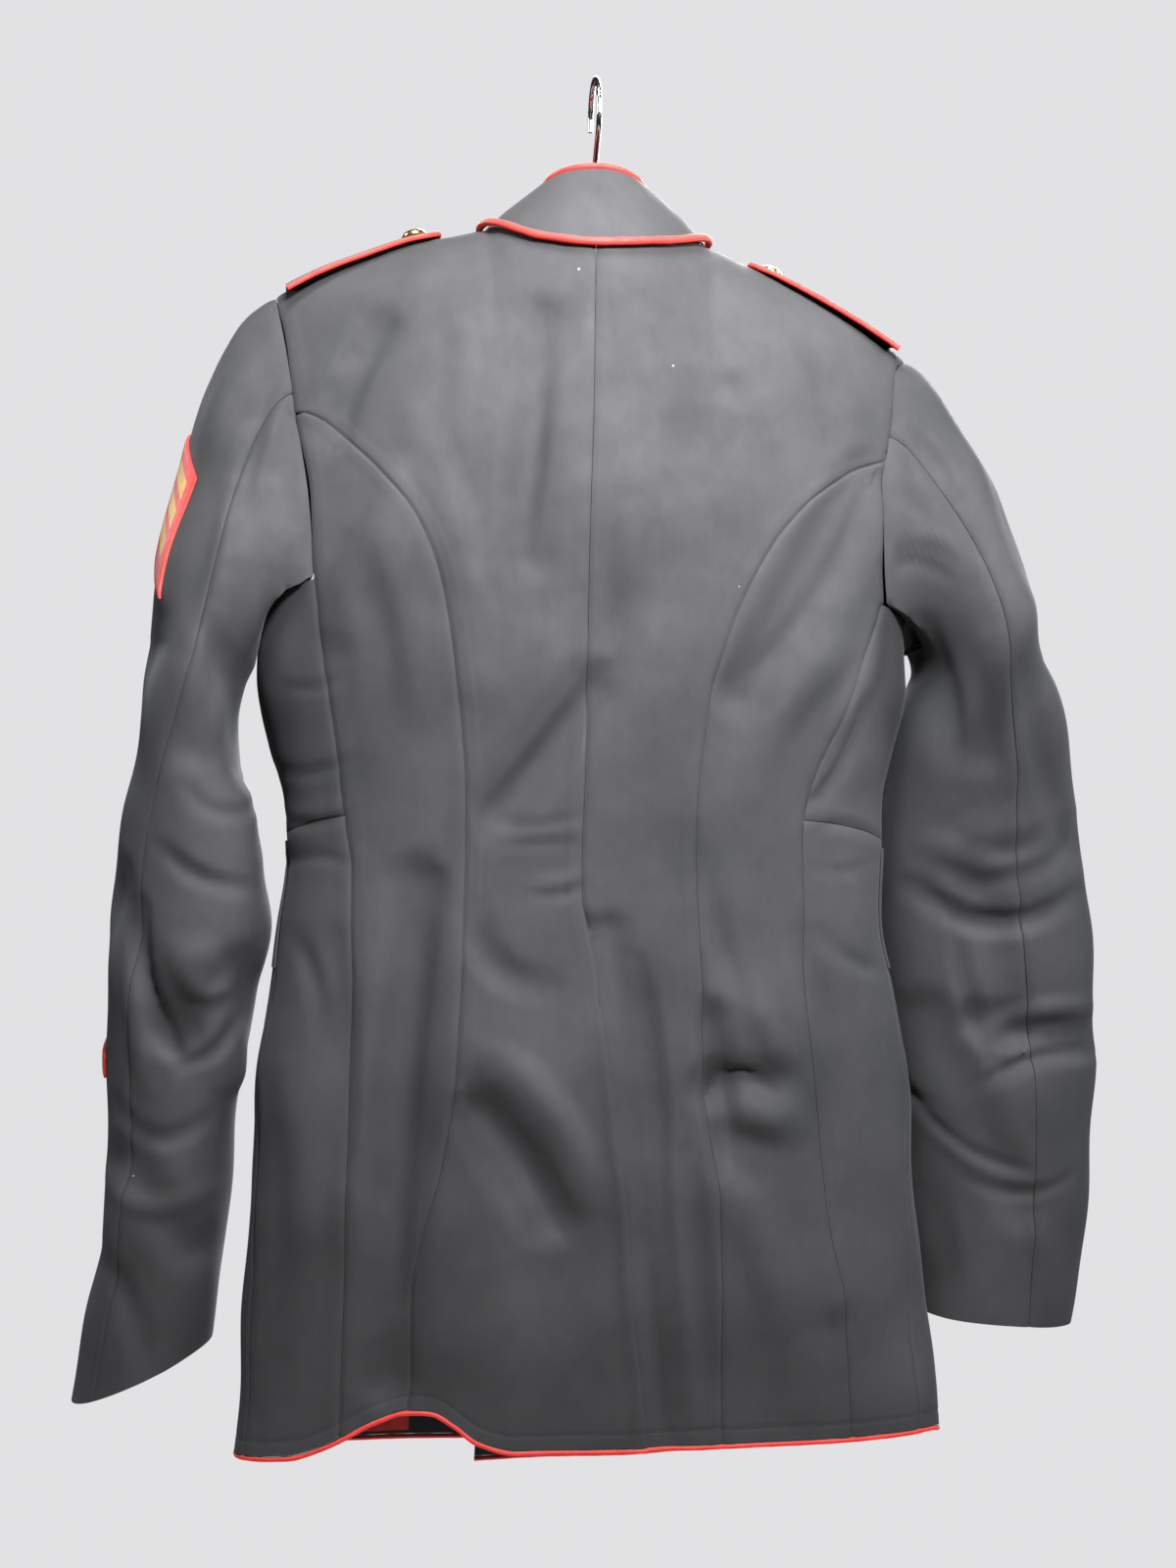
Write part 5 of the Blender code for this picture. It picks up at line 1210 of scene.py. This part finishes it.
def slit_welts():
    rows = np.linspace(*WELT_ROWS, 40)
    steps = np.linspace(*WELT_STEPS, 12)
    row = np.broadcast_to(rows[:, None], (len(rows), len(steps)))
    for side, hand in ((1, "left"), (-1, "right")):
        angle = seam_angle("side_front_" + hand, rows)[:, None] + side * steps
        piece, base = sewn_on("slit_welt_" + hand, row, angle, WELT_CLOTH + WELT_GAP, WELT_CLOTH, 0.4, 0.7,
                              MATERIALS["wool"])


def bar_top(x):
    """Height of the shoulder bar, a little under the inner face of the cloth that lies on it."""
    slope = (top_line(x + 3, True)[1] - top_line(x - 3, True)[1]) / 6
    return top_line(x, True)[1] - CLOTH * np.hypot(1, slope) - HANGER_SINK


def hanger_parts():
    xs = np.linspace(-HANGER_END, HANGER_END, 81)
    right, left = bar_top(-HANGER_MIDDLE), bar_top(HANGER_MIDDLE)
    across = xs / HANGER_MIDDLE
    middle = 0.5 * (left + right) + 0.5 * (left - right) * across + HANGER_CROWN * (1 - across ** 2)
    top = np.where(np.abs(xs) >= HANGER_MIDDLE, bar_top(xs), middle)
    tall = HANGER_HEIGHT * (1 - 0.3 * np.abs(xs) / HANGER_END)
    thick = HANGER_THICKNESS * (1 - 0.5 * np.abs(xs / HANGER_END) ** 3)
    sides = 24
    turn = np.linspace(0, 2 * math.pi, sides, endpoint=False) + math.pi / 2
    y = 0.5 * thick[:, None] * np.cos(turn)
    z = (top - tall / 2)[:, None] + (tall / 2)[:, None] * np.sin(turn)
    points = np.stack([np.broadcast_to(xs[:, None], y.shape), y, z], axis=-1).reshape(-1, 3)
    quads, caps = tube_faces(len(xs), sides)
    bar = add_mesh("hanger_wood_bar", points, quads, MATERIALS["wood"], caps)
    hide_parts("hanger_bar")
    bend = HOOK_BEND_RADIUS + HOOK_WIRE_RADIUS
    foot = float(top[len(xs) // 2]) + SEAM_GAP
    line = [(0, 0, foot)] + list(HOOK_STEM)
    for step in range(HOOK_STEPS + 1):
        angle = math.radians(HOOK_START + step * HOOK_SWEEP / HOOK_STEPS)
        line.append((0, bend * math.cos(angle), -HOOK_BEND_RADIUS + bend * math.sin(angle)))
    hook = tube_mesh("hanger_wire_hook", smooth_line(line, 1.2), HOOK_WIRE_RADIUS, MATERIALS["chrome"],
                     sides=16)
    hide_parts("hanger_hook")


def grey(value):
    return (value, value, value)


class Shader:
    """A material's node tree, with short calls to add and join nodes."""

    def __init__(self, name, roughness, metallic=0.0, sheen=0.0, sheen_roughness=0.4, coat=0.0):
        self.material = bpy.data.materials.new(name)
        self.material.use_nodes = True
        self.tree = self.material.node_tree
        self.surface = self.tree.nodes["Principled BSDF"]
        self.surface.inputs["Roughness"].default_value = roughness
        self.surface.inputs["Metallic"].default_value = metallic
        self.surface.inputs["Sheen Weight"].default_value = sheen
        self.surface.inputs["Sheen Roughness"].default_value = sheen_roughness
        self.surface.inputs["Coat Weight"].default_value = coat
        self.place = self.node("ShaderNodeTexCoord").outputs["Object"]

    def node(self, kind, **values):
        made = self.tree.nodes.new(kind)
        for name, value in values.items():
            if name in made.inputs:
                made.inputs[name].default_value = value
            else:
                setattr(made, name, value)
        return made

    def join(self, output, socket):
        self.tree.links.new(output, socket)

    def into(self, name, output):
        self.join(output, self.surface.inputs[name])

    def noise(self, scale, detail=3.0, stretch=(1, 1, 1)):
        mapping = self.node("ShaderNodeMapping")
        mapping.inputs["Scale"].default_value = stretch
        self.join(self.place, mapping.inputs["Vector"])
        noise = self.node("ShaderNodeTexNoise", Scale=scale, Detail=detail)
        self.join(mapping.outputs["Vector"], noise.inputs["Vector"])
        return noise.outputs["Fac"]

    def ramp(self, factor, stops):
        ramp = self.node("ShaderNodeValToRGB")
        elements = ramp.color_ramp.elements
        while len(elements) < len(stops):
            elements.new(0.5)
        for element, (at, colour) in zip(elements, stops):
            element.position = at
            element.color = (*colour, 1.0)
        self.join(factor, ramp.inputs["Fac"])
        return ramp

    def blend(self, factor, low, high, start=0.3, end=0.7):
        """Colour that goes from low to high while the factor goes from start to end."""
        return self.ramp(factor, [(start, low), (end, high)]).outputs["Color"]

    def mix(self, factor, first, second, blend_type="MIX"):
        mix = self.node("ShaderNodeMix", data_type="RGBA", blend_type=blend_type)
        for name, value in (("Factor", factor), ("A", first), ("B", second)):
            if isinstance(value, tuple):
                mix.inputs[name].default_value = (*value, 1.0)
            elif isinstance(value, float):
                mix.inputs[name].default_value = value
            else:
                self.join(value, mix.inputs[name])
        return mix.outputs["Result"]

    def bump(self, height, strength, distance, before=None):
        bump = self.node("ShaderNodeBump", Strength=strength, Distance=distance)
        self.join(height, bump.inputs["Height"])
        if before is not None:
            self.join(before, bump.inputs["Normal"])
        return bump.outputs["Normal"]

    def twill(self, scale):
        """Fine diagonal ribs."""
        mapping = self.node("ShaderNodeMapping")
        mapping.inputs["Rotation"].default_value = (0.3, math.radians(58), 0.4)
        self.join(self.place, mapping.inputs["Vector"])
        wave = self.node("ShaderNodeTexWave", Scale=scale, Distortion=0.6, Detail=1.0)
        self.join(mapping.outputs["Vector"], wave.inputs["Vector"])
        return wave.outputs["Fac"]


def wool_material():
    shader = Shader("dark_wool", 0.8, sheen=0.05, sheen_roughness=0.35)
    shader.surface.inputs["Sheen Tint"].default_value = (0.80, 0.84, 0.92, 1.0)
    shader.surface.inputs["Specular IOR Level"].default_value = 0.22
    broad = shader.blend(shader.noise(12.0, 6.0), WOOL_DARK, WOOL_LIGHT)
    streak = shader.blend(shader.noise(260.0, 3.0, (1.0, 1.0, 0.4)), grey(0.95), grey(1.05))
    weave = shader.mix(1.0, broad, streak, "MULTIPLY")
    flecks = shader.node("ShaderNodeTexVoronoi", Scale=34.0)
    shader.join(shader.place, flecks.inputs["Vector"])
    lint = shader.blend(flecks.outputs["Distance"], grey(1), grey(0), 0.012, 0.024)
    rare = shader.blend(shader.noise(6.0, 1.0), grey(0), grey(1), 0.62, 0.66)
    both = shader.node("ShaderNodeMath", operation="MULTIPLY")
    shader.join(lint, both.inputs[0])
    shader.join(rare, both.inputs[1])
    shader.into("Base Color", shader.mix(both.outputs["Value"], weave, (0.5, 0.5, 0.48)))
    shader.into("Roughness", shader.blend(shader.noise(60.0, 3.0), grey(0.70), grey(0.86)))
    normal = shader.bump(shader.twill(620.0), 0.25, 0.0002)
    normal = shader.bump(shader.noise(900.0, 2.0), 0.18, 0.0002, normal)
    shader.into("Normal", shader.bump(shader.noise(42.0, 3.0), 0.22, 0.0012, normal))
    return shader.material


def scarlet_material():
    shader = Shader("scarlet_wool", 0.7, sheen=0.25, sheen_roughness=0.4)
    shader.surface.inputs["Sheen Tint"].default_value = (1.0, 0.45, 0.35, 1.0)
    shader.into("Base Color", shader.blend(shader.noise(120.0, 4.0), SCARLET_DARK, SCARLET_LIGHT))
    shader.into("Roughness", shader.blend(shader.noise(200.0), grey(0.62), grey(0.8)))
    normal = shader.bump(shader.twill(520.0), 0.3, 0.0002)
    shader.into("Normal", shader.bump(shader.noise(700.0), 0.3, 0.0003, normal))
    return shader.material


def patch_material(name, bands, border, gold, ground):
    """Ground cloth with bands of gold braid across it, by the share down the patch, and bare side borders."""
    shader = Shader(name, 0.6, sheen=0.1)
    share = shader.node("ShaderNodeAttribute", attribute_name="band").outputs["Fac"]
    stops = [(0.0, ground)]
    for start, end in bands:
        stops += [(start, gold), (end, ground)]
    ramp = shader.ramp(share, stops)
    ramp.color_ramp.interpolation = "CONSTANT"
    inset = shader.node("ShaderNodeAttribute", attribute_name="inset").outputs["Fac"]
    within = shader.node("ShaderNodeMath", operation="GREATER_THAN")
    within.inputs[1].default_value = border
    shader.join(inset, within.inputs[0])
    braid = shader.mix(within.outputs["Value"], ground, ramp.outputs["Color"])
    worn = shader.blend(shader.noise(160.0, 4.0), grey(0.75), grey(1.1), 0.25, 0.75)
    shader.into("Base Color", shader.mix(1.0, braid, worn, "MULTIPLY"))
    shader.into("Roughness", shader.blend(shader.noise(260.0), grey(0.5), grey(0.72)))
    shader.into("Normal", shader.bump(shader.twill(430.0), 0.5, 0.0004))
    return shader.material


def thread_material():
    shader = Shader("dark_thread", 0.5, sheen=0.2)
    shader.into("Base Color", shader.blend(shader.noise(900.0), (0.012, 0.012, 0.015), (0.03, 0.03, 0.036)))
    shader.into("Normal", shader.bump(shader.noise(2600.0, 2.0), 0.4, 0.0001))
    return shader.material


def metal_material(name, dark, light, rough_low, rough_high, scale):
    shader = Shader(name, rough_low, metallic=1.0)
    shader.into("Base Color", shader.blend(shader.noise(scale, 4.0), dark, light))
    shader.into("Roughness", shader.blend(shader.noise(scale * 2.5, 4.0), grey(rough_low), grey(rough_high)))
    shader.into("Normal", shader.bump(shader.noise(scale * 4, 3.0), 0.08, 0.0002))
    return shader.material


def wood_material():
    shader = Shader("varnished_wood", 0.4, coat=0.3)
    grain = shader.noise(22.0, 5.0, (1.0, 14.0, 14.0))
    shader.into("Base Color", shader.blend(grain, (0.21, 0.105, 0.045), (0.42, 0.25, 0.12)))
    shader.into("Roughness", shader.blend(grain, grey(0.34), grey(0.5)))
    shader.into("Normal", shader.bump(grain, 0.2, 0.0003))
    return shader.material


def add_camera():
    yaw = math.radians(CAMERA_YAW)
    behind = Vector((math.sin(yaw), math.cos(yaw), 0.0))
    camera = bpy.data.cameras.new("camera")
    camera.sensor_fit = "VERTICAL"
    camera.sensor_height = SENSOR_HEIGHT
    camera.lens = CAMERA_FOCAL_PIXELS * SENSOR_HEIGHT / IMAGE_HEIGHT_PIXELS
    obj = bpy.data.objects.new("camera", camera)
    obj.location = (Vector(CAMERA_TARGET) + behind * CAMERA_DISTANCE) * MM
    obj.rotation_euler = (-behind).to_track_quat("-Z", "Y").to_euler()
    bpy.context.scene.collection.objects.link(obj)
    bpy.context.scene.camera = obj


def add_light(name, place, aim, size, power, colour=(1.0, 1.0, 1.0)):
    light = bpy.data.lights.new(name, "AREA")
    light.shape = "DISK"
    light.size = size
    light.energy = power
    light.color = colour
    obj = bpy.data.objects.new(name, light)
    obj.location = place
    obj.rotation_euler = (Vector(aim) - Vector(place)).to_track_quat("-Z", "Y").to_euler()
    obj.visible_camera = False
    light.spread = math.radians(LIGHT_SPREAD)
    bpy.context.scene.collection.objects.link(obj)


def add_stage():
    """Pale floor below the hanging coat, pale surroundings, and soft lights."""
    bpy.ops.mesh.primitive_circle_add(vertices=96, radius=FLOOR_RADIUS, fill_type="NGON",
                                      location=(0, 0, FLOOR_HEIGHT))
    floor = bpy.context.object
    floor.name = "floor"
    shader = Shader("pale_floor", 0.8)
    pale = shader.blend(shader.noise(3.0), (0.70, 0.69, 0.71), (0.76, 0.75, 0.77))
    shader.into("Base Color", pale)
    shader.into("Emission Color", pale)
    shader.surface.inputs["Emission Strength"].default_value = 0.6
    floor.data.materials.append(shader.material)
    world = bpy.data.worlds.new("studio")
    world.use_nodes = True
    tree = world.node_tree
    ambient = tree.nodes["Background"]
    ambient.inputs["Color"].default_value = (*AMBIENT_COLOUR, 1.0)
    ambient.inputs["Strength"].default_value = AMBIENT_STRENGTH
    seen = tree.nodes.new("ShaderNodeBackground")
    seen.inputs["Color"].default_value = (*BACKDROP_COLOUR, 1.0)
    seen.inputs["Strength"].default_value = 1.0
    ray = tree.nodes.new("ShaderNodeLightPath")
    both = tree.nodes.new("ShaderNodeMixShader")
    tree.links.new(ray.outputs["Is Camera Ray"], both.inputs["Fac"])
    tree.links.new(ambient.outputs["Background"], both.inputs[1])
    tree.links.new(seen.outputs["Background"], both.inputs[2])
    tree.links.new(both.outputs["Shader"], tree.nodes["World Output"].inputs["Surface"])
    bpy.context.scene.world = world
    for name, place, aim, size, power, colour in LIGHTS:
        add_light(name, place, aim, size, power, colour)
    bpy.context.scene.view_settings.view_transform = "Standard"


MATERIALS = {
    "wool": wool_material(),
    "scarlet": scarlet_material(),
    "rank": patch_material("rank_patch_cloth", ((0.12, 0.27), (0.36, 0.51), (0.60, 0.75)), 0.2, BRAID_GOLD,
                           BRAID_GROUND),
    "stripe": patch_material("service_stripe_cloth", ((0.2, 0.8),), 0.04, BRAID_GOLD, BRAID_GROUND),
    "thread": thread_material(),
    "brass": metal_material("polished_brass", (0.66, 0.44, 0.12), (0.84, 0.6, 0.24), 0.16, 0.3, 90.0),
    "chrome": metal_material("plated_wire", (0.55, 0.55, 0.56), (0.8, 0.8, 0.8), 0.1, 0.22, 160.0),
    "wood": wood_material(),
}

add_camera()
add_stage()
hem_parts(body_panels())
for side in (1, -1):
    sleeve = Sleeve(side)
    sleeve_pieces(sleeve)
    sleeve_patch("rank_patch_", sleeve, RANK_PATCH, MATERIALS["rank"])
    sleeve_patch("service_stripe_", sleeve, SERVICE_STRIPE, MATERIALS["stripe"])
collar_parts()
strap_parts(1, STRAP_LEFT)
strap_parts(-1, STRAP_RIGHT)
front_buttons()
front_facing()
slit_welts()
hanger_parts()
